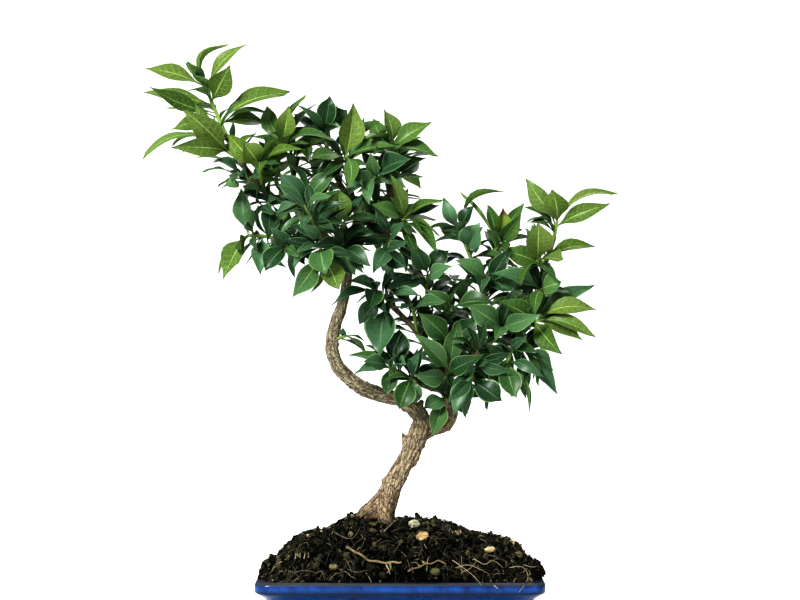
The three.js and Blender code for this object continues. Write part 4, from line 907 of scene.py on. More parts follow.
class Crowd:
    """Hulls with the balls round them in one array, so that far ones are passed over at once."""

    def __init__(self, room=2000):
        self.hulls, self.balls, self.owners = [], np.zeros((room, 4)), np.zeros(room, dtype=int)

    def add(self, hull):
        i = len(self.hulls)
        self.balls[i] = (*hull["centre"], hull["reach"])
        self.owners[i] = hull["owner"]
        self.hulls.append(hull)

    def crossed_by(self, hull, owned=None):
        """Whether it crosses any hull, or only those that are its owner's or aren't, where owned says so."""
        balls, owners = self.balls[:len(self.hulls)], self.owners[:len(self.hulls)]
        near = np.linalg.norm(balls[:, :3] - hull["centre"], axis=1) <= balls[:, 3] + hull["reach"]
        if owned is not None:
            near &= (owners == hull["owner"]) == owned
        found = [self.hulls[i] for i in np.nonzero(near)[0]]
        if not found:
            return False
        return (any_pierces(hull["edges"], np.concatenate([other["triangles"] for other in found]))
                or any_pierces(np.concatenate([other["edges"] for other in found]), hull["triangles"]))


# %% Leaves drawn from the picture and leaves placed by rule
DRAWN_TRIES = [(a, b) for a in (0, -7, 7, -14, 14, -21, 21) for b in (0, 24, -24)]
RULE_TRIES = [(a, b) for a in (0, 25, -25, 50, -50, 75, -75, 100) for b in (0, 14, -14)]
# How each kind grows: its seeds, the gap it keeps, how it leans, rolls and falls, and its own size.
HABITS = {
    "filled": {"seeds": (101, 17), "clear": 0.3, "lean": 12, "roll": 0.5, "fall": (0.12, 0.16),
               "long": (0.8, 0.3), "wide": (0.36, 0.09), "arch": (0.07, 0.09)},
    "more": {"seeds": (5003, 29), "clear": -0.25, "lean": 12, "roll": 2.0, "fall": (-0.26, 0.16),
             "long": (0.8, 0.3), "wide": (0.36, 0.09), "arch": (0.07, 0.09)},
    "limb": {"seeds": (7019, 37), "clear": -0.25, "lean": 22, "roll": 2.0, "fall": (-0.3, 0.35),
             "long": (0.75, 0.35), "wide": (0.34, 0.1), "arch": (0.06, 0.12)},
}


def twig_at(shoot, share):
    start, end = seen(shoot["start"]), seen(shoot["end"])
    return start + (end - start) * share


def foot_of_leaf(shoot, share):
    """A place along the leafy part of the twig, whose first quarter is bare."""
    return twig_at(shoot, 0.24 + 0.73 * share)


def drawn_leaf(shoot, drawn, attempt):
    along, across, up, depth, width, turn = drawn[:6]
    base = foot_of_leaf(shoot, along)
    tip = seen((across, up, depth + attempt[0]))
    chord = unit(tip - base)
    facing = unit(TO_EYE - chord * (TO_EYE @ chord))
    angle = math.radians(turn + attempt[1])
    return {"base": base, "tip": tip, "width": width, "arch": drawn[6] if len(drawn) > 6 else ARCH,
            "normal": facing * math.sin(angle) + np.cross(facing, chord) * math.cos(angle),
            "steps": DRAWN_STEPS}


def rule_leaf(place, habit, draws, attempt):
    """A leaf off its twig or limb. A pair in its habit is a fixed part and a part that the draw scales."""
    centre, axis, thick, steep, full = place
    fall, long, wide, arch = (habit[name][0] + habit[name][1] * draws[name]
                              for name in ("fall", "long", "wide", "arch"))
    right = unit(np.cross(axis, TO_EYE if abs(axis[2]) > 0.94 else UP))
    around = math.radians(draws["around"] + attempt[0])
    out = right * math.cos(around) + np.cross(right, axis) * math.sin(around)
    off = math.radians(steep + habit["lean"] * draws["lean"] + attempt[1])
    ahead = unit(axis * math.cos(off) + out * math.sin(off) - UP * fall)
    normal = axis * 0.7 + UP * 0.6 + TO_EYE * 0.15 + out * (habit["roll"] * (draws["tilt"] - 0.5))
    base, length = centre + out * thick, full * long
    return {"base": base, "tip": base + ahead * length, "width": length * wide, "arch": arch,
            "normal": unit(normal - ahead * (normal @ ahead)), "steps": FILLED_STEPS}


def within(outline, spot):
    across, up = spot
    inside = False
    for i, (x0, y0) in enumerate(outline):
        x1, y1 = outline[(i + 1) % len(outline)]
        if (y0 > up) != (y1 > up) and across < x0 + (x1 - x0) * (up - y0) / (y1 - y0):
            inside = not inside
    return inside


# %% Grow them one after another, each clear of what is there
WOOD_OWNER, LIMB_OWNER = -1, -2
DRAWN_CLEAR = 0.3
woods, hulls, outers = Crowd(), Crowd(), Crowd()
for rows in WOOD.values():
    limb_rings = tube_rings([seen(row[:3]) for row in rows], [row[3] + 0.5 for row in rows], 6)
    woods.add(hull_of(limb_rings, WOOD_OWNER))
for s, shoot in enumerate(SHOOTS):
    hulls.add(hull_of(tube_rings([seen(shoot["start"]), seen(shoot["end"])], [1.85, 1.45], 5), s))


def grow(leaves, owner, kind, tries, make, clear, number=-1):
    """Adds to the leaves the first try that is clear of wood and of other leaves, if one is."""
    for attempt in tries:
        leaf = {**make(attempt), "kind": kind, "number": number}
        if kind != "drawn" and not within(CROWN, faced(leaf["tip"])):
            continue
        hull = hull_of(blade_rings(leaf, leaf["steps"], clear), owner)
        outer = hull_of(blade_rings(leaf, OUTER_STEPS, clear), owner)
        if not (hulls.crossed_by(hull, False) or woods.crossed_by(outer) or outers.crossed_by(outer, True)):
            hulls.add(hull)
            outers.add(outer)
            leaves.append(leaf)
            return


def grow_by_rule(leaves, owner, kind, number, places):
    """Leaves at a row of places: each says the foot, the axis, the wood's radius, an angle and a length."""
    habit = HABITS[kind]
    random = random_from(habit["seeds"][0] + number * habit["seeds"][1])
    start = 360 * random()
    for index, place in enumerate(places):
        draws = {name: random() for name in ("lean", "fall", "tilt", "long", "wide", "arch")}
        draws["around"] = start + index * NEXT_ROUND
        grow(leaves, owner, kind, RULE_TRIES, lambda t: rule_leaf(place, habit, draws, t), habit["clear"])


def twig_place(shoot, share, full):
    """A leaf's place on its twig: it stands off by 78 degrees at the foot and by less towards the tip."""
    axis = unit(seen(shoot["end"]) - seen(shoot["start"]))
    return foot_of_leaf(shoot, share), axis, 0.0, 78 - 34 * share, full


grown = {shoot["name"]: [] for shoot in SHOOTS}
for s, shoot in enumerate(SHOOTS):
    leaves = grown[shoot["name"]]
    for i, drawn in enumerate(shoot["leaves"]):
        grow(leaves, s, "drawn", DRAWN_TRIES, lambda t: drawn_leaf(shoot, drawn, t), DRAWN_CLEAR, i)
for s, shoot in enumerate(SHOOTS):
    shares = np.linspace(0, 1, shoot["fill"]) if shoot["fill"] > 1 else [0.5] * shoot["fill"]
    places = [twig_place(shoot, share, shoot["long"]) for share in shares]
    grow_by_rule(grown[shoot["name"]], s, "filled", s, places)
print(sum(len(leaves) for leaves in grown.values()), "leaves stand where the solid model has them")

# %% [markdown]
# The solid model keeps only the leaves that give the crown its form. On the real tree many more stand
# between them, half hidden, and these close the view through the crown. They are coloured darker than the
# others, as painted shade inside the crown. Some grow by the same rule from the same twigs. Others grow
# straight from the limbs, along their outer parts. Each is set only where it doesn't cut through a leaf
# that is already there, though it may touch one.

# %% More leaves between the others
MORE_LEAVES, FULL_SIZED, GOLDEN = 8, 5, 0.618
for s, shoot in enumerate(SHOOTS):
    places = []
    for i in range(MORE_LEAVES):
        full = shoot["long"] * (0.98 if i < FULL_SIZED else 0.75)
        places.append(twig_place(shoot, 0.02 + 0.93 * ((i * GOLDEN) % 1), full))
    grow_by_rule(grown[shoot["name"]], s, "more", s, places)
print(sum(len(leaves) for leaves in grown.values()), "leaves with those between them")

# %% Leaves that grow from the limbs
BARE = {"right": 1.0, "crown_left": 0.35, "right_out": 0.3, "crown_mid": 0.35}
LIMB_STEP, LIMB_LEAF_LONG, LIMB_LEAF_STEEP = 4.6, 27, 52
limb_leaves = []
for n, (limb, (line, radii)) in enumerate(limb_lines.items()):
    if not limb.startswith(("crown", "right")):
        continue
    steps = np.diff(line, axis=0)
    walked = np.concatenate([[0], np.cumsum(np.linalg.norm(steps, axis=1))])
    places = []
    for far in np.arange(walked[-1] * BARE.get(limb, 0.15), walked[-1], LIMB_STEP):
        spot = np.interp(far, walked, np.arange(len(line)))
        i = min(int(spot), len(steps) - 1)
        centre = line[i] + steps[i] * (spot - i)
        places.append((centre, unit(steps[i]), radii[i] * 0.7, LIMB_LEAF_STEEP, LIMB_LEAF_LONG))
    grow_by_rule(limb_leaves, LIMB_OWNER, "limb", n, places)
print(len(limb_leaves), "leaves on the limbs")

# %% [markdown]
# ## One leaf
#
# The leaf of a myrtle-leaf orange is small and stiff, widest a little below its middle, with a long point
# and a short stalk. It is folded a little along the midrib and bends back towards its tip. We model one
# flat leaf from a grid: each row is drawn in to the outline and moved to its place, the last row is merged
# to the point, and a wall that thins out to nothing at the margin makes it a closed blade. Every leaf on
# the tree is a copy of it, so it has under a hundred faces.

# %% Model the flat leaf
LEAF_ROWS = (0, 0.05, 0.10, 0.18, 0.29, 0.42, 0.56, 0.69, 0.81, 0.91, 1)
LEAF_HALF = (0.07, 0.08, 0.25, 0.57, 0.86, 1.0, 0.95, 0.76, 0.49, 0.22, 0.001)
GRID_ROWS = len(LEAF_ROWS) - 1

only()
bpy.ops.mesh.primitive_grid_add(x_subdivisions=4, y_subdivisions=GRID_ROWS, size=2)
flat_leaf = bpy.context.object
flat_leaf.name = "flat_leaf"
grid = vectors_of(flat_leaf)
blade_place = np.stack([grid[:, 0], (grid[:, 1] + 1) / 2, np.zeros(len(grid))], axis=1)
number_each_point(flat_leaf, "blade_place", blade_place)
row_of = np.rint(blade_place[:, 1] * GRID_ROWS)
for row, (along, half) in enumerate(zip(LEAF_ROWS, LEAF_HALF)):
    pick(flat_leaf, "VERT", lambda vert: row_of[vert.index] == row)
    y = -1 + 2 * row / GRID_ROWS
    bpy.ops.transform.resize(value=(half, 1, 1), center_override=(0, y, 0))
    bpy.ops.transform.translate(value=(0, along - y, 0))
bpy.ops.mesh.merge(type="CENTER")
only(flat_leaf)
print("the flat leaf has", len(flat_leaf.data.polygons), "faces in", GRID_ROWS, "rows")

# %% Give it a wall that thins out at the margin
inner = flat_leaf.vertex_groups.new(name="inner")
inside = [i for i, (v, t, _) in enumerate(vectors_of(flat_leaf, "blade_place")) if abs(v) < 0.99 and t < 0.99]
inner.add(inside, 1.0, "REPLACE")
apply_modifier(flat_leaf, "SOLIDIFY", thickness=1.0, offset=0, vertex_group="inner",
               thickness_vertex_group=0.0)
merge_doubles(flat_leaf, 0.0001)
bpy.ops.mesh.normals_make_consistent(inside=False)
only(flat_leaf)
flat_leaf.vertex_groups.clear()
under_side = [float(face.normal.z < 0) for face in flat_leaf.data.polygons]
flat_leaf.data.attributes.new("under_side", "FLOAT", "FACE").data.foreach_set("value", under_side)
template, template_place = vectors_of(flat_leaf), vectors_of(flat_leaf, "blade_place")
print("one leaf has", len(flat_leaf.data.polygons), "faces,", int(sum(under_side)), "of them below")

# %% [markdown]
# ### Bend a copy to its place
#
# Each copy is bent in code along its own midline: from its foot on the twig to its tip, arched, folded up
# along the midrib, with a slightly waved margin and a little twist, since no two leaves dry or grow alike.
# What the material needs is kept on the leaf: its age, which also carries painted light and shade, its tone,
# and whether it is withering.

# %% Bend leaves
SLIM = {"drawn": 0.9, "filled": 0.72, "more": 0.62, "limb": 0.6}
BOX_LOW, BOX_HIGH = np.array(cad_box) / MM
BOX_GAP = 0.1


def kept_in_box(points, t):
    """A leaf that reaches out of the solid model's box is swung back, more towards its tip."""
    for axis in range(3):
        for way, limit in ((1, BOX_LOW[axis] + BOX_GAP), (-1, BOX_HIGH[axis] - BOX_GAP)):
            past = way * (limit - points[:, axis])
            if past.max() > 0:
                points[:, axis] += way * past.max() * np.minimum(1, t / t[past.argmax()])
    return points


def hump(t, middle, reach):
    return np.clip(1 - np.abs(t - middle) / reach, 0, 1)


def bend_leaf(leaf, random):
    """Where the points of the flat leaf go. Leaves that are broad for their length get an oval outline."""
    base, up, drawn = leaf["base"], leaf["normal"], leaf["kind"] == "drawn"
    length = np.linalg.norm(leaf["tip"] - base)
    ahead = (leaf["tip"] - base) / length
    side = np.cross(ahead, up)
    v, t = template_place[:, 0], template_place[:, 1]
    wave, lean, fold, twist, slim = (random() for _ in range(5))
    width = leaf["width"] * (SLIM[leaf["kind"]] + 0.14 * slim)
    rise = 4 * t * (1 - t) * (1 + 0.3 * (0.5 - t)) * leaf["arch"]
    local_up = up - ahead * (leaf["arch"] * 4 * (1 - 2 * t))[:, None]
    local_up /= np.linalg.norm(local_up, axis=1)[:, None]
    turn = ((twist - 0.5) * (0.7 if drawn else 1.3) * t)[:, None]
    across = side * np.cos(turn) + local_up * np.sin(turn)
    local_up = local_up * np.cos(turn) - side * np.sin(turn)
    blunt = min(1, max(0, (width / length - 0.48) / 0.1))
    oval = 1 + blunt * (0.45 * hump(t, 0.8, 0.24) + 0.3 * hump(t, 0.2, 0.15))
    half = np.maximum(np.abs(template[:, 0]) * oval * width / 2, np.abs(v) * 0.5) * np.sign(v)
    lift = (0.2 + 0.5 * fold) * np.abs(half) ** 1.2 / max(width / 2, 1) ** 0.2
    lift += 0.07 * width * v * v * np.sin(7 * t + 6.3 * wave) * np.clip(t * 3, 0, 1) * np.sign(v)
    thick = template[:, 2] * np.where(t < 0.15, 0.85, 0.6 - 0.2 * t)
    sway = (lean - 0.5) * (0.07 if drawn else 0.16) * length * np.sin(math.pi * t)
    middle = base + ahead * (t * length)[:, None] + up * (rise * length)[:, None]
    return kept_in_box(middle + across * (half + sway)[:, None] + local_up * (lift + thick)[:, None], t)


def make_leaf(leaf, age, tone, withered, random):
    copy = copy_of(flat_leaf, bend_leaf(leaf, random))
    number_whole(copy, age=age, tone=tone, withered=withered)
    return copy


TWIG_SWELL = np.array([1.4, 1.15, 1.22, 1.05, 1.12, 0.95, 0.6])


def make_twig(shoot, random):
    shares = np.linspace(0, 1, len(TWIG_SWELL))
    line = np.array([twig_at(shoot, share) for share in shares])
    bow = unit(np.array([random() - 0.5, random() - 0.5, random() - 0.5]))
    line += np.sin(math.pi * shares)[:, None] * np.cross(unit(line[-1] - line[0]), bow) * 0.9
    twig = curve_tube("twig", line, TWIG_SWELL, 8)
    number_each_point(twig, "blade_place", np.tile([0.5, 0.02, 0], (len(twig.data.vertices), 1)))
    number_whole(twig, age=0.45 if shoot["young"] else 0.8, tone=0.3, withered=0.0)
    return twig


# %% [markdown]
# ### Leaf material
#
# A young citrus leaf is yellow-green and soft; an old one is dark, bluish and waxy, so one number, its age,
# moves the colour from one to the other. The same number also carries painted light and shade: some leaves
# in the light are set younger and lighter, and leaves in the shade older and darker. The midrib and the
# margin are paler, the side veins are faint, the underside is dull and grey-green, and dried water leaves
# pale flecks. A thin coat on the upper side gives the wax its shine.

# %% Paint the leaves
def leaf_material(name, coat, rough):
    leaf = Paint(name)
    age, tone, under = (leaf.attribute(number) for number in ("age", "tone", "under_side"))
    spot = leaf.attribute("blade_place", "Vector")
    across, t = leaf.part(spot, "X"), leaf.part(spot, "Y")
    v = leaf.calc("ABSOLUTE", across)
    cloud = leaf.clouds(110.0, 0.5)
    young = leaf.mix(tone, (0.050, 0.080, 0.010), (0.074, 0.106, 0.026))
    middle = leaf.mix(tone, (0.014, 0.045, 0.008), (0.044, 0.093, 0.024))
    old = leaf.mix(leaf.calc("POWER", tone, 1.4), (0.0020, 0.016, 0.007), (0.0500, 0.108, 0.056))
    # The age number moves the colour from young to old, and with it painted light and shade.
    leaf.colour = leaf.mix(leaf.mask(age, 0.0, 0.5), young, middle)
    leaf.tint(leaf.mask(age, 0.45, 0.9), 1, old)
    leaf.tint(cloud, 0.2, (0.030, 0.066, 0.010))

    pale = leaf.mix(age, (0.27, 0.38, 0.09), (0.150, 0.240, 0.115))
    slanted = leaf.times(leaf.less(t, leaf.times(v, 0.11)), 62.0)
    vein = leaf.times(leaf.mask(leaf.calc("SINE", slanted), 0.72, 1.0), leaf.mask(v, 0.95, 0.7))
    leaf.tint(vein, leaf.mask(age, 0.2, 0.8, 0.12, 0.04), pale)
    own = {0: leaf.times(across, 3.0), 1: leaf.times(t, 12.0), 2: leaf.times(tone, 20.0)}
    meshes = leaf.cells(leaf.add("CombineXYZ", own), 1.0, "DISTANCE_TO_EDGE")
    net = leaf.times(leaf.mask(meshes, 0.09, 0.01), leaf.mask(v, 0.95, 0.6))
    leaf.tint(net, leaf.mask(age, 0.1, 0.9, 0.15, 0.05), pale)
    rib_width = leaf.mask(t, 0.0, 1.0, 0.11, 0.04)
    rib = leaf.mask(v, rib_width, leaf.times(rib_width, 0.35))
    leaf.tint(rib, leaf.mask(age, 0.2, 0.9, 0.6, 0.3), pale)
    leaf.tint(leaf.mask(v, 0.86, 0.95), leaf.mask(age, 0.3, 0.9, 0.12, 0.5), pale)
    leaf.tint(leaf.mask(t, 0.93, 0.99), 0.6, (0.030, 0.034, 0.014))

    leaf.tint(under, 0.8, leaf.mix(age, (0.130, 0.235, 0.045), (0.070, 0.130, 0.062)))
    leaf.tint(leaf.specks(900.0, 0.24, 0.4), 0.28, (0.40, 0.45, 0.36))
    dry = leaf.mix(leaf.mask(t, 0.74, 0.86), (0.10, 0.15, 0.025), (0.09, 0.05, 0.02))
    leaf.tint(leaf.attribute("withered"), 1, dry)
    leaf.tint(leaf.mask(t, 0.10, 0.03), 1, leaf.mix(age, (0.20, 0.32, 0.06), (0.075, 0.11, 0.035)))
    dulled = leaf.plus(leaf.times(under, 0.25), leaf.times(cloud, 0.08))
    bumps = leaf.less(leaf.times(cloud, 0.4), leaf.plus(rib, leaf.times(vein, 0.5)))
    return leaf.surface({"Roughness": leaf.plus(dulled, rough), "Specular IOR Level": 0.1,
                         "Coat Weight": leaf.mask(under, 0.0, 1.0, coat, 0.0), "Coat Roughness": 0.25},
                        bumps, 0.2, 0.5)


leaf_paints = {"young_leaf": leaf_material("young_leaf", 0.05, 0.45),
               "mature_leaf": leaf_material("mature_leaf", 0.08, 0.4)}
print("leaf materials:", list(leaf_paints))

# %% Dress every shoot, with the ages of the drawn leaves from 0, youngest, to 9, partly set as painted light and shade
# Lit leaves are given younger, lighter digits and shaded ones older, darker digits: painted light and shade
# as well as age.
AGES_AND_LIGHT = {
    "top_left": "1112232223", "left_upper": "1222", "over_left": "12122", "top_broad": "135465",
    "top_middle": "14456", "centre_round": "27878", "top_right": "23443", "left_low": "227888",
    "low_front": "67862", "right_shoulder": "233345", "mid_high": "883787", "mid_withered": "46454",
    "right_top": "2102", "right_upper": "1223", "right_rosette": "17222345", "low_dark": "88899",
    "right_inner": "567", "left_mid": "78788", "cross_left": "788889",
}
WITHERED = ("mid_withered", 1)
# The last number makes the leaves added between the others older and darker: painted shade inside the crown.
YOUNG_AGE, USUAL_AGE, DEEPER_IN_SHADE = 0.35, 0.8, 0.3

for s, shoot in enumerate(SHOOTS):
    random = random_from(907 + s * 41)
    ages = AGES_AND_LIGHT.get(shoot["name"], "")
    pieces = []
    for leaf in grown[shoot["name"]]:
        added = leaf["kind"] == "more"
        usual = (YOUNG_AGE if shoot["young"] else USUAL_AGE) + (DEEPER_IN_SHADE if added else 0)
        if leaf["kind"] == "drawn" and leaf["number"] < len(ages):
            age = int(ages[leaf["number"]]) / 9
        else:
            age = min(1, max(0, usual + 0.3 * (random() - 0.5)))
        withered = float((shoot["name"], leaf["number"]) == WITHERED)
        # Added leaves get half the tone, so they are darker: painted shade.
        pieces.append(make_leaf(leaf, age, (0.5 if added else 1.0) * random(), withered, random))
    piece = join([*pieces, make_twig(shoot, random)], "leafy_" + shoot["name"])
    slot = "young_leaf" if shoot["young"] else "mature_leaf"
    finish_piece(piece, leaf_paints[slot], slot, "shoot_" + shoot["name"], smooth=50)
random = random_from(4441)
# Limb leaves get low tones, so they are dark: painted shade inside the crown.
pieces = [make_leaf(leaf, 0.8 + 0.2 * random(), 0.4 * random(), 0.0, random) for leaf in limb_leaves]
finish_piece(join(pieces, "limb_leaves"), leaf_paints["mature_leaf"], "mature_leaf", smooth=50)
bpy.data.objects.remove(flat_leaf)
print(sum(len(leaves) for leaves in grown.values()) + len(limb_leaves), "leaves on", len(SHOOTS), "shoots")

# %% [markdown]
# ## The pot
#
# The pot is glazed stoneware, a rounded rectangle with a flat rim that hangs over a softly curved wall.
# We start from the rim as a thin block and work as a potter trims: the lower face is inset and drawn down
# step by step to the foot, the upper face is inset and pushed in to make the hollow. The corners are
# rounded last, with one bevel down all the corner edges. Four feet lift it and two holes drain it.

# %% The pot's profile, as how far inside the rim's outer line, and height
OUTSIDE = [(0.4, 43), (2.2, 41.8), (6.4, 38.6), (7.8, 34), (9.6, 24), (12.2, 12), (15, 8)]
INSIDE = [(0.9, 49.6), (2.2, 50), (5.2, 50), (6.6, 49), (7.4, 46.5), (13, 40), (16, 24), (19, 16), (22, 14)]
RIM_LOW, RIM_HIGH = 44.4, 48.2


def draw_out(pot, way, steps, start_height):
    """Insets the face that closes the pot's upper (way 1) or lower (way -1) side, step by step."""
    inset, height = 0.0, start_height
    for next_inset, next_height in steps:
        only(pot)
        flat = [face for face in pot.data.polygons if face.normal.z * way > 0.99]
        widest = max(flat, key=lambda face: face.area).index
        pick(pot, "FACE", lambda face: face.index == widest)
        bpy.ops.mesh.inset(thickness=(next_inset - inset) * MM, depth=0)
        bpy.ops.transform.translate(value=(0, 0, (next_height - height) * MM))
        inset, height = next_inset, next_height


only()
bpy.ops.mesh.primitive_cube_add(size=1, location=(POT_X0 * MM, 0, (RIM_LOW + RIM_HIGH) / 2 * MM),
                                scale=(POT_X * MM, POT_Y * MM, (RIM_HIGH - RIM_LOW) * MM))
pot = bpy.context.object
pot.name = "glazed_pot"
settle(pot)
draw_out(pot, -1, OUTSIDE, RIM_LOW)
draw_out(pot, 1, INSIDE, RIM_HIGH)
only(pot)
print("the pot's wall has", len(pot.data.polygons), "faces before its corners are rounded")


# %% Round the corners, then soften the steps of the profile
def at_corner(edge):
    a, b = (vert.co for vert in edge.verts)
    return (a.x - POT_X0 * MM) * (b.x - POT_X0 * MM) > 0 and a.y * b.y > 0


pick(pot, "EDGE", at_corner)
bpy.ops.mesh.bevel(offset=9 * MM, offset_type="OFFSET", segments=7, profile=0.5, clamp_overlap=True)
apply_modifier(pot, "BEVEL", width=0.5 * MM, segments=2, limit_method="ANGLE", angle_limit=math.radians(22))
print("rounded:", len(pot.data.polygons), "faces")

# %% Feet and drain holes
FOOT_AT, FOOT_SIZE = (60, 39), (26, 18, 9)
DRAIN_AT, DRAIN_RADIUS = 42, 6


def upright_or_low(edge):
    a, b = (vert.co.z / MM for vert in edge.verts)
    return abs(a - b) > 5 or a + b < 2


def shape_with(pot, tool, operation):
    """Adds the tool's form to the pot or takes it away, then puts the tool aside."""
    apply_modifier(pot, "BOOLEAN", object=tool, operation=operation, solver="EXACT")
    bpy.data.objects.remove(tool)


only()
bpy.ops.mesh.primitive_cube_add(size=1, location=(0, 0, FOOT_SIZE[2] / 2 * MM),
                                scale=[size * MM for size in FOOT_SIZE])
foot = bpy.context.object
settle(foot)
pick(foot, "EDGE", upright_or_low)
bpy.ops.mesh.bevel(offset=1.8 * MM, segments=3, profile=0.5)
only(foot)
for x in (-1, 1):
    for y in (-1, 1):
        place = np.array([POT_X0 + x * FOOT_AT[0], y * FOOT_AT[1], 0])
        shape_with(pot, copy_of(foot, points_of(foot) + place), "UNION")
bpy.data.objects.remove(foot)
for side in (-1, 1):
    only()
    bpy.ops.mesh.primitive_cylinder_add(vertices=32, radius=DRAIN_RADIUS * MM, depth=24 * MM,
                                        location=((POT_X0 + side * DRAIN_AT) * MM, 0, 10 * MM))
    shape_with(pot, bpy.context.object, "DIFFERENCE")
print("the pot has", len(pot.data.polygons), "faces")

# %% [markdown]
# ### Glaze
#
# A cobalt glaze is never even: it runs in darker and lighter streaks, floats milky clouds where it is thick,
# and breaks to a brown line along the edges where it runs thin. The rim's outer face is given a lighter
# blue, which is painted light, and the rim's lower edge and the wall just under it a darker blue, which is
# painted shade. The flat top of the rim is dull, greyed by lime. The glaze covers the inside too and ends a
# centimetre over the ground, so the feet are bare clay.

# %% Paint the pot
glaze = Paint("cobalt_glaze")
height = glaze.part(glaze.place, "Z")


def from_to(low, high):
    """A mask by height over the ground in millimetres: 0 at the first height, 1 at the second."""
    return glaze.mask(height, low * MM, high * MM)


runs = glaze.clouds(150.0, 0.5, glaze.stretch(glaze.place, (1, 1, 0.5)))
milky = glaze.clouds(34.0, 0.35)
glaze.colour = glaze.mix(runs, (0.0006, 0.012, 0.045), (0.002, 0.034, 0.120))
glaze.tint(milky, 0.35, (0.004, 0.036, 0.120))
# The rim's outer face gets a lighter blue: painted light.
bright = glaze.mix(runs, (0.0010, 0.013, 0.064), (0.006, 0.047, 0.180))
glaze.tint(glaze.times(from_to(45.0, 46.0), from_to(48.4, 47.4)), 0.9, bright)
# The rim's lower edge and the wall just under it get a darker blue: painted shade.
glaze.tint(glaze.times(from_to(41.2, 42.8), from_to(45.0, 44.0)), 0.8, (0.0006, 0.005, 0.022))
specks = glaze.specks(620.0, 0.3, 0.5)
glaze.tint(specks, 0.4, (0.001, 0.006, 0.035))

wander = glaze.less(glaze.grain(glaze.place, 160.0), 0.5)
thin_from = glaze.plus(0.0481, glaze.times(wander, 0.0011))
thin = glaze.mask(height, thin_from, glaze.plus(thin_from, 0.0006))
glaze.tint(glaze.times(thin, from_to(50.0, 49.6)), 0.85, (0.028, 0.024, 0.023))
top = from_to(49.65, 49.95)
glaze.tint(top, 1, glaze.mix(glaze.clouds(120.0, 0.5), (0.005, 0.007, 0.012), (0.012, 0.016, 0.027)))
bare_clay = from_to(10.0, 8.8)
glaze.tint(bare_clay, 1, (0.075, 0.044, 0.030))

rougher = glaze.plus(glaze.times(top, 0.2), glaze.times(bare_clay, 0.5))
uncoated = glaze.calc("MAXIMUM", glaze.times(top, 0.15), glaze.times(bare_clay, 0.2))
shine = {"Roughness": glaze.plus(glaze.mask(milky, 0, 1, 0.26, 0.36), rougher),
         "Coat Weight": glaze.less(0.2, uncoated, clamp=True), "Coat Roughness": 0.08,
         "Specular IOR Level": 0.1}
glaze.surface(shine, glaze.plus(runs, glaze.times(specks, -0.4)), 0.3, 0.6)
finish_piece(pot, glaze.material, "glazed_ceramic", "pot", smooth=40)
print("the pot is glazed")

# %% Drainage mesh over the holes
plastic = Paint("drain_plastic")
grit = plastic.clouds(600.0, 0.5)
plastic.colour = plastic.mix(grit, (0.012, 0.013, 0.012), (0.035, 0.034, 0.030))
plastic.surface({"Roughness": plastic.mask(grit, 0, 1, 0.45, 0.75)}, grit, 0.1)
for side in ("left", "right"):
    for material_slot in bpy.data.objects["drain_mesh_" + side].material_slots:
        material_slot.material = plastic.material
print("drainage mesh painted")

# %% [markdown]
# ## The soil
#
# The tree stands on a mound of black peat mixed with bark, roots and grit. The mound's form is in the
# solid model, so we take a copy of that solid, melt it to an even fine mesh and rough up its upper side.
# Then come the loose crumbs, flakes of bark and the many fine fibres that make peat look like peat.

# %% The mound's height, from its ridge and how far the peat has settled under the solid's top
RIDGE = [
    [-84, 0], [-82, 4], [-76, 14.5], [-66, 24], [-56, 29], [-48.7, 31], [-38, 35], [-27.9, 36.4],
    [-3, 35], [16, 34.6], [34, 30.8], [52, 26], [65, 23.6], [72, 20], [79, 14.5], [82.5, 8], [84, 0],
]
SETTLED = [(-84, 1.7), (-79, 2.2), (-64, 3.4), (-52, 6.4), (-44, 5.7), (-38, 4.2), (-33, 2), (-25, 2.6),
           (0, 3.5), (10, 2.7), (30, 2.2), (40, 3.5), (51, 4.6), (62, 3.9), (70, 3.2), (78, 1.6), (84, 1)]
MOUND_HALF = 59


def mound_height(x, y):
    xs, ys = zip(*RIDGE)
    fall = np.clip(1 - (np.abs(y) / MOUND_HALF) ** 2.3, 0, 1)
    return POT_HEIGHT - 1 + np.interp(x - POT_X0, xs, ys, left=0, right=0) * fall ** 0.75


def settled_height(x, y):
    """The top of the peat between its lumps, which has settled a little below the solid's."""
    xs, drops = zip(*SETTLED)
    return mound_height(x, y) - np.interp(x - POT_X0, xs, drops)


def on_mound(across, up, over=0.0):
    """Where the eye's line to this place meets the mound."""
    for depth in np.arange(-65, 65, 0.25):
        place = seen((across, up, depth))
        if place[2] <= mound_height(place[0], place[1]) + over:
            return place
    return seen((across, up, 0))


mound_top = max(mound_height(POT_X0 + x, 0) for x, _ in RIDGE)
print("the mound's top stands", round(float(mound_top), 1), "mm over the table")


# %% A finer copy of the mound
def melted_copy(node, name, voxel, rounds):
    """A copy of a solid as one even skin of small faces."""
    only(bpy.data.objects[node])
    bpy.ops.object.duplicate()
    piece = bpy.context.object
    piece.name = name
    piece.data = piece.data.copy()
    merge_doubles(piece, 0.00001)
    melt(piece, voxel, rounds)
    return piece


peat = melted_copy("soil", "peat", 1.25, 6)
peat_points = points_of(peat)
x, y, z = peat_points.T
clods = np.abs(noise_at(peat_points, 3.4, 1.0, 7.4))
relief = 1.6 * noise_at(peat_points, 7.5, 1.0, 2.2) + 2.8 * clods + 0.9 * noise_at(peat_points, 1.7, 1.0, 4.9)
open_air = np.clip((z - (POT_HEIGHT - 3)) / 4, 0, 1) * (mound_height(x, y) - z < 4)
rise = open_air * (relief - 1.9)
moved = normals_of(peat) * rise[:, None]
sunk = mound_height(x, y) - settled_height(x, y)
moved[:, 2] -= sunk * open_air * np.clip(normals_of(peat)[:, 2], 0, 1)
move_points(peat, peat_points + moved)
# Low spots between the lumps are kept, to be painted darker as painted shade.
number_each_point(peat, "hollow_shade", np.clip(0.1 - rise / 2.0, 0, 1))
print("peat mesh of", len(peat.data.polygons), "faces")

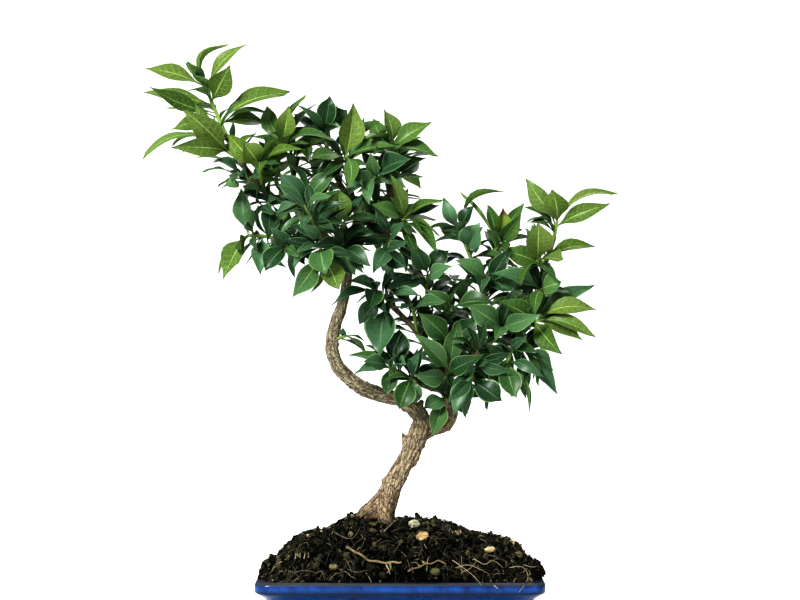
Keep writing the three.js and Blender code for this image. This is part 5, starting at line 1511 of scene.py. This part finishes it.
# %% Paint the peat
black = Paint("black_peat")
crumbly, damp = black.clouds(380.0, 0.3), black.clouds(70.0, 0.3)
black.colour = black.mix(crumbly, (0.0004, 0.0006, 0.0005), (0.0050, 0.0062, 0.0044))
black.tint(damp, 0.3, (0.0095, 0.0100, 0.0062))
across, up = black.part(black.place, "X"), black.part(black.place, "Z")
moss_side = black.times(black.mask(across, 0.022, -0.02), black.mask(up, 0.062, 0.074))
black.tint(black.times(moss_side, black.clouds(130.0, 0.25)), 0.6, (0.005, 0.012, 0.004))
# Low spots are painted almost black: painted shade.
black.tint(black.attribute("hollow_shade"), 0.9, (0.0003, 0.0004, 0.0004))
dull = {"Roughness": black.mask(damp, 0, 1, 0.95, 0.8), "Specular IOR Level": 0.03}
finish_piece(peat, black.surface(dull, crumbly, 0.8), "peat_soil", "soil")
print("peat painted")

# %% [markdown]
# ### Crumbs and flakes
#
# Each kind of crumb has three rough lumps, modelled from a ball whose points are pushed about. Copies of
# them, turned and sized at random, are pressed a little into the surface: most are fine, some coarse, and
# some so flat that they lie as flakes of bark. Crumbs also hide the rim at the pot's short sides.

# %% Helpers that copy one small shape many times
def copies_of(name, shapes, placed):
    """One piece from many copies: each entry of placed is a shape's number, its points and its tone."""
    whole, tones = bmesh.new(), []
    for number, points, tone in placed:
        copy = shapes[number].data.copy()
        copy.vertices.foreach_set("co", (points * MM).astype(np.float32).ravel())
        whole.from_mesh(copy)
        bpy.data.meshes.remove(copy)
        tones += [tone] * len(points)
    mesh = bpy.data.meshes.new(name)
    whole.to_mesh(mesh)
    whole.free()
    piece = bpy.data.objects.new(name, mesh)
    scene.collection.objects.link(piece)
    number_each_point(piece, "tone", tones)
    for shape in shapes:
        bpy.data.objects.remove(shape)
    print(name, "has", len(placed), "copies and", len(mesh.polygons), "faces")
    return piece


def rough_lump(seed, subdivisions):
    only()
    bpy.ops.mesh.primitive_ico_sphere_add(subdivisions=subdivisions, radius=MM)
    lump = bpy.context.object
    random = random_from(seed)
    rough = np.array([[0.62 + 0.7 * random() for _ in range(3)] for _ in lump.data.vertices])
    move_points(lump, points_of(lump) * rough)
    return lump


def turned(points, random):
    for i in range(3):
        angle = 2 * math.pi * random()
        j, k = (i + 1) % 3, (i + 2) % 3
        u, w = points[:, j].copy(), points[:, k].copy()
        points[:, j] = u * math.cos(angle) - w * math.sin(angle)
        points[:, k] = u * math.sin(angle) + w * math.cos(angle)
    return points


def lumps_placed(lumps, seed, number, low, high, form, spot, press):
    """Rough lumps of these sizes: form is the length, breadth and height of each against its size."""
    random = random_from(seed)
    placed = []
    for _ in range(number):
        which = int(random() * 3) % 3
        size = low + (high - low) * random() ** 2
        points = turned(points_of(lumps[which]) * size * np.array(form), random)
        placed.append((which, points + spot(random) + np.array([0, 0, size * press]), random()))
    return placed


def scattered(name, seed, subdivisions, batches):
    """Three rough lumps, scattered in batches, each of them what lumps_placed needs."""
    lumps = [rough_lump(seed + i, subdivisions) for i in range(3)]
    return copies_of(name, lumps, [lump for batch in batches for lump in lumps_placed(lumps, *batch)])


# %% Where crumbs lie
PEAT_HALF_X, PEAT_HALF_Y, RIM_FROM = 82.5, 59.5, 83.5


def surface_spot(random):
    x = POT_X0 + (2 * random() - 1) * PEAT_HALF_X
    y = (2 * random() - 1) * PEAT_HALF_Y
    return np.array([x, y, settled_height(x, y) - 0.5])


def rim_spot(random):
    """On the rim at either side, lower towards its outer edge."""
    side = 1 if random() < 0.5 else -1
    out = 5.0 * random()
    y = -46 + 76 * random() ** 1.3
    height = 0.3 + 2.6 * random() * (1 - out / 5.5)
    return np.array([POT_X0 + side * (RIM_FROM + out), y, POT_HEIGHT + height])


def spill_spot(random):
    """In a heap on the rim at either side, or in the clump that hangs over the right front corner."""
    out, place = random(), random()
    in_clump, side = place < 0.3, -1 if place > 0.65 else 1
    y = -45 + 16 * (random() - 0.5) if in_clump else -8 + 44 * (random() - 0.5)
    heap = 1 - out ** 4 if in_clump else (1 - out) ** 0.8 * (1 - ((y + 8) / 24) ** 2)
    low = 5 * random() if in_clump else 0
    return np.array([POT_X0 + side * (82 + 7 * out), y, POT_HEIGHT + 1 + low + (10 - low) * random() * heap])


# %% Scatter crumbs and flakes
CRUMB, COARSE, FLAKE = (1, 0.8, 0.65), (1, 0.8, 0.6), (1, 0.6, 0.15)
fine = scattered("crumbs_fine", 31, 1, [(41, 3400, 0.5, 1.5, CRUMB, surface_spot, 0.35),
                                        (43, 420, 0.5, 1.5, CRUMB, rim_spot, 0.2),
                                        (45, 520, 0.8, 2.2, CRUMB, spill_spot, 0.2)])
flakes = scattered("bark_flakes", 31, 1, [(47, 600, 1.1, 3.5, FLAKE, surface_spot, 0.4)])
coarse = scattered("crumbs_coarse", 61, 2, [(53, 620, 1.3, 3.4, COARSE, surface_spot, 0.15)])
crumbs = join([fine, coarse], "peat_crumbs")


def crumb_material(name, dark, light, odd, odd_share):
    """Each crumb has its own tone, most of them dark; the odd one has another colour."""
    crumb = Paint(name)
    tone, mottle = crumb.attribute("tone"), crumb.clouds(700.0, 0.5)
    bright = crumb.plus(crumb.calc("POWER", tone, 4.0), 0.04)
    crumb.colour = crumb.mix(crumb.calc("MULTIPLY", mottle, bright, clamp=True), dark, light)
    odd_from = 1 - odd_share
    crumb.tint(crumb.mask(tone, odd_from, odd_from + 0.02), crumb.plus(mottle, 0.2), odd)
    dull = {"Roughness": crumb.mask(mottle, 0, 1, 0.95, 0.8), "Specular IOR Level": 0.06}
    return crumb.surface(dull, mottle, 0.3)


peat_crumb = crumb_material("peat_crumb", (0.0004, 0.0006, 0.0005), (0.092, 0.090, 0.052),
                            (0.120, 0.100, 0.050), 0.05)
bark_flake = crumb_material("bark_flake", (0.002, 0.003, 0.002), (0.190, 0.180, 0.090),
                            (0.36, 0.29, 0.15), 0.06)
finish_piece(crumbs, peat_crumb, "peat_soil", smooth=30)
finish_piece(flakes, bark_flake, "bark_chip", smooth=30)
print("crumbs and flakes lie on the peat")

# %% [markdown]
# ### Fibres and hairs
#
# Peat is full of thin fibres that lie in every direction and loop out of the surface, dark olive most of
# them and some straw pale. One short tube is modelled, and each fibre is a copy of it, laid along a line
# that wanders over the mound. A few long hairs that show in the picture are laid by their own places.

# %% Model one fibre
only()
bpy.ops.mesh.primitive_cylinder_add(vertices=4, radius=MM, depth=MM, end_fill_type="NGON")
fibre_tube = bpy.context.object
pick(fibre_tube, "EDGE", lambda edge: abs(edge.verts[0].co.z - edge.verts[1].co.z) > 0.5 * MM)
bpy.ops.mesh.subdivide(number_cuts=6)
only(fibre_tube)
tube_points = points_of(fibre_tube)
print("one fibre has", len(fibre_tube.data.polygons), "faces")


# %% Lay copies along wandering lines
def tube_along(line, radius):
    """The fibre's points laid along a line and drawn thin towards its end."""
    t = tube_points[:, 2] + 0.5
    far = np.linspace(0, 1, len(line))
    run = np.gradient(line, axis=0)
    run /= np.maximum(np.linalg.norm(run, axis=1), 1e-6)[:, None]
    middle, axis = (np.stack([np.interp(t, far, row) for row in rows.T], axis=1) for rows in (line, run))
    side = np.cross(axis, np.array([0.21, 0.34, 0.92]))
    side /= np.linalg.norm(side, axis=1)[:, None]
    thick = radius * (1 - 0.45 * t)[:, None]
    return middle + thick * (side * tube_points[:, :1] - np.cross(side, axis) * tube_points[:, 1:2])


WANDER_STEPS, FIBRE_X, FIBRE_Y = 8, 83, 58.5


def wandering(random, spot, length, lift):
    """A line that loops over the mound from this spot, inside the pot."""
    x, y, _ = spot
    heading = 2 * math.pi * random()
    bend = (random() - 0.5) * 1.8
    line = []
    for i in range(WANDER_STEPS):
        hop = math.sin(math.pi * i / (WANDER_STEPS - 1))
        line.append((x, y, settled_height(x, y) + lift * hop + 0.6 * random()))
        heading += bend / WANDER_STEPS + (random() - 0.5) * 0.45
        x = np.clip(x + length / WANDER_STEPS * math.cos(heading), POT_X0 - FIBRE_X, POT_X0 + FIBRE_X)
        y = np.clip(y + length / WANDER_STEPS * math.sin(heading), -FIBRE_Y, FIBRE_Y)
    return np.array(line)


def straw_spot(random):
    """Low on the front of the mound, more of them towards its two ends."""
    side = 1 if random() < 0.5 else -1
    return np.array([POT_X0 + side * (82 - 60 * random() ** 1.6), -59 + 11 * random(), 0])


FIBRES, STRAWS = 2200, 170
random = random_from(211)
laid = []
for _ in range(FIBRES):
    length = 2.5 + 13 * random() ** 2.4
    line = wandering(random, surface_spot(random), length, 2.4 * random() ** 2)
    laid.append((0, tube_along(line, 0.14 + 0.18 * random() ** 2), 0.02 + 0.7 * random() ** 9))
for _ in range(STRAWS):
    line = wandering(random, straw_spot(random), 3 + 8 * random(), 1.5 * random())
    laid.append((0, tube_along(line, 0.14 + 0.16 * random()), 0.03 + 0.55 * random() ** 3.5))
print(len(laid), "fibres laid")

# %% Hairs and straws that show in the picture: thickness, tone, and places as across and up
HAIRS = [
    (0.22, 0.8, [(34, 55), (41, 50), (48, 44.5), (53, 38.5)]),
    (0.22, 0.7, [(71, 50), (79, 51), (83, 46), (82, 41), (77, 34)]),
    (0.24, 0.9, [(91, 53), (96, 58), (99.5, 63)]),
    (0.18, 0.6, [(-37.5, 87), (-34, 85.5), (-32, 84)]),
    (0.16, 0.6, [(3, 88), (5, 87), (6, 84)]),
    (0.18, 0.6, [(34, 79), (38, 81.5), (41, 83.5)]),
    (0.22, 0.3, [(-42, 73), (-36, 69.5), (-30, 69.5), (-25.5, 77)]),
    (0.28, 0.7, [(-10.5, 73.5), (-6, 78), (-1.5, 81.5)]),
    (0.30, 0.8, [(61, 38.5), (63, 37), (64, 36.5)]),
    (0.18, 0.32, [(-70, 46.5), (-62, 48.5), (-54, 46.8), (-50, 48.6)]),
    (0.18, 0.35, [(-34, 49), (-28, 47), (-22, 48.5)]),
    (0.36, 0.85, [(-9, 52), (-7, 48), (-6.5, 45.8)]),
    (0.20, 0.7, [(36, 50), (44, 52), (52, 49), (58, 46)]),
    (0.22, 0.7, [(48, 56), (55, 52), (60, 55), (66, 51)]),
    (0.20, 0.8, [(80, 52), (86, 50.5), (92, 51.5)]),
    (0.22, 0.6, [(40, 47), (46, 50), (50, 55)]),
    (0.34, 0.6, [(-68, 56), (-67.6, 59.4)]),
    (0.30, 0.55, [(-65, 56.4), (-64.8, 59.8)]),
    (0.36, 0.65, [(-62.3, 56), (-61.6, 59.6)]),
    (0.26, 0.5, [(-59.6, 56.6), (-59.4, 60)]),
]


def hair_spot(across, up):
    """On the mound where the eye's line meets it, else just before the pot's front or over its side."""
    if up > 45.5 and abs(across) < 86:
        place = on_mound(across, up, 0.8)
        if place[1] < 0:
            return place
    return seen((across, up, -66.2 if up < 52 and abs(across) < 88 else -20.0))


for thick, tone, spots in HAIRS:
    row = smooth_line([(*hair_spot(across, up), 1) for across, up in spots])[:, :3]
    laid.append((0, tube_along(row, thick), tone))
fibres = copies_of("peat_fibres", [fibre_tube], laid)

fibre = Paint("peat_fibre")
streak = fibre.clouds(260.0, 0.5)
fibre.colour = fibre.mix(fibre.attribute("tone"), (0.0030, 0.0042, 0.0025), (0.52, 0.44, 0.27))
fibre.tint(streak, 0.5, (0.012, 0.014, 0.007))
dry = {"Roughness": fibre.mask(streak, 0, 1, 0.85, 0.7), "Specular IOR Level": 0.2}
finish_piece(fibres, fibre.surface(dry, streak, 0.1), "bare_root")

# %% [markdown]
# ### Surface roots, bark chips and pebbles
#
# A few larger things lie on the peat: a tan root that crosses the front, a shorter one beside it, three
# chips of bark and two pebbles. Each stands where its solid stands, with the bends and the roughness that
# the solid leaves out.

# %% Surface roots
ROOTS = {
    "left": {"radius": 1.6, "twig": [(-7, 54), (-6, 50), (-8.5, 46.5)],
             "route": [(-35, 63.5), (-29, 60.5), (-21, 55.5), (-12, 53.5), (-4, 53.5), (1, 53.5)]},
    "right": {"radius": 1.1, "twig": [(13, 51), (10, 53.5), (7, 53)],
              "route": [(5, 47.5), (13, 51), (20, 53), (26, 54.5), (30, 52)]},
}
tan = Paint("tan_root")
strands = tan.clouds(420.0, 0.4, tan.stretch(tan.place, (0.35, 1, 1)))
tan.colour = tan.mix(strands, (0.030, 0.022, 0.008), (0.205, 0.160, 0.070))
tan.tint(tan.clouds(150.0, 0.3), 0.4, (0.062, 0.044, 0.018))
root_wood = tan.surface({"Roughness": tan.mask(strands, 0, 1, 0.85, 0.65)}, strands, 0.35)


def line_on_mound(places, over):
    return smooth_line([(*on_mound(across, up, over), 1) for across, up in places])[:, :3]


for side, root in ROOTS.items():
    line, twig = line_on_mound(root["route"], 1.5), line_on_mound(root["twig"], 1.4)
    spots = np.arange(len(line))
    line[:, 2] += 0.4 * np.sin(spots * 1.3)
    swell = np.linspace(0.52, 0.46, len(line)) * (1 + 0.16 * np.sin(spots * 1.9))
    piece = join([curve_tube("root", line, root["radius"] * swell, 12),
                  curve_tube("root_twig", twig, root["radius"] * np.linspace(0.5, 0.25, len(twig)), 8)],
                 "crossing_root_" + side)
    settle(piece)
    melt(piece, 0.28, 3)
    points = points_of(piece)
    push_out(piece, 0.16 * noise_at(points, 2.2, 1.0, 4.4) + 0.07 * noise_at(points, 0.8, 1.0, 8.1))
    finish_piece(piece, root_wood, "bare_root", "surface_root_" + side)
print("surface roots laid")

# %% Paint for bark chips and pebbles
layered = Paint("chip_bark")
layers = layered.clouds(330.0, 0.35, layered.stretch(layered.place, (0.4, 0.4, 2.2)))
yellow = layered.attribute("tone")
dark_side = layered.mix(yellow, (0.060, 0.064, 0.036), (0.150, 0.080, 0.030))
light_side = layered.mix(yellow, (0.400, 0.400, 0.280), (0.440, 0.350, 0.165))
layered.colour = layered.mix(layers, dark_side, light_side)
layered.tint(layered.specks(900.0, 0.35, 0.5), 0.5, (0.05, 0.028, 0.014))
chip_bark = layered.surface({"Roughness": layered.mask(layers, 0, 1, 0.9, 0.7)}, layers, 0.5)

olive = Paint("olive_stone")
mottle = olive.clouds(260.0, 0.5)
light_side = olive.mix(olive.attribute("tone"), (0.050, 0.050, 0.010), (0.150, 0.108, 0.024))
olive.colour = olive.mix(mottle, (0.018, 0.017, 0.006), light_side)
olive.tint(mottle, 0.3, (0.06, 0.065, 0.02))
stone = olive.surface({"Roughness": olive.mask(mottle, 0, 1, 0.5, 0.75)}, mottle, 0.2)
print("materials:", [material.name for material in bpy.data.materials])


# %% Roughen the chips and pebbles
def lay_loose(node, material, slot, yellow, size, depth, share):
    """A melted copy of a chip or pebble with lumps of this size and depth, drawn in to a share of itself."""
    piece = melted_copy(node, "loose_" + node.removeprefix("bark_"), 0.3, 3)
    points = points_of(piece)
    push = depth * noise_at(points, size, 1.0, 3.9) + 0.4 * depth * noise_at(points, size * 0.4, 1.0, 6.2)
    push_out(piece, push)
    points = points_of(piece)
    middle = points.mean(axis=0)
    move_points(piece, middle + (points - middle) * share)
    number_whole(piece, tone=yellow)
    finish_piece(piece, material, slot, node)


for kind, yellow in (("pale", 0.1), ("tan", 1.0), ("small", 0.75)):
    lay_loose("bark_chip_" + kind, chip_bark, "bark_chip", yellow, 1.7, 0.75, 0.94)
for side, yellow in (("left", 0.9), ("right", 0.15)):
    lay_loose("pebble_" + side, stone, "pebble", yellow, 2.6, 0.9, 0.72)
print("chips and pebbles laid")

# %% [markdown]
# ## The last look
#
# The dressed tree must stay inside the box of the solid model, so that box is written out.

# %% Write the solid model's box
print("solid model", cad_box)
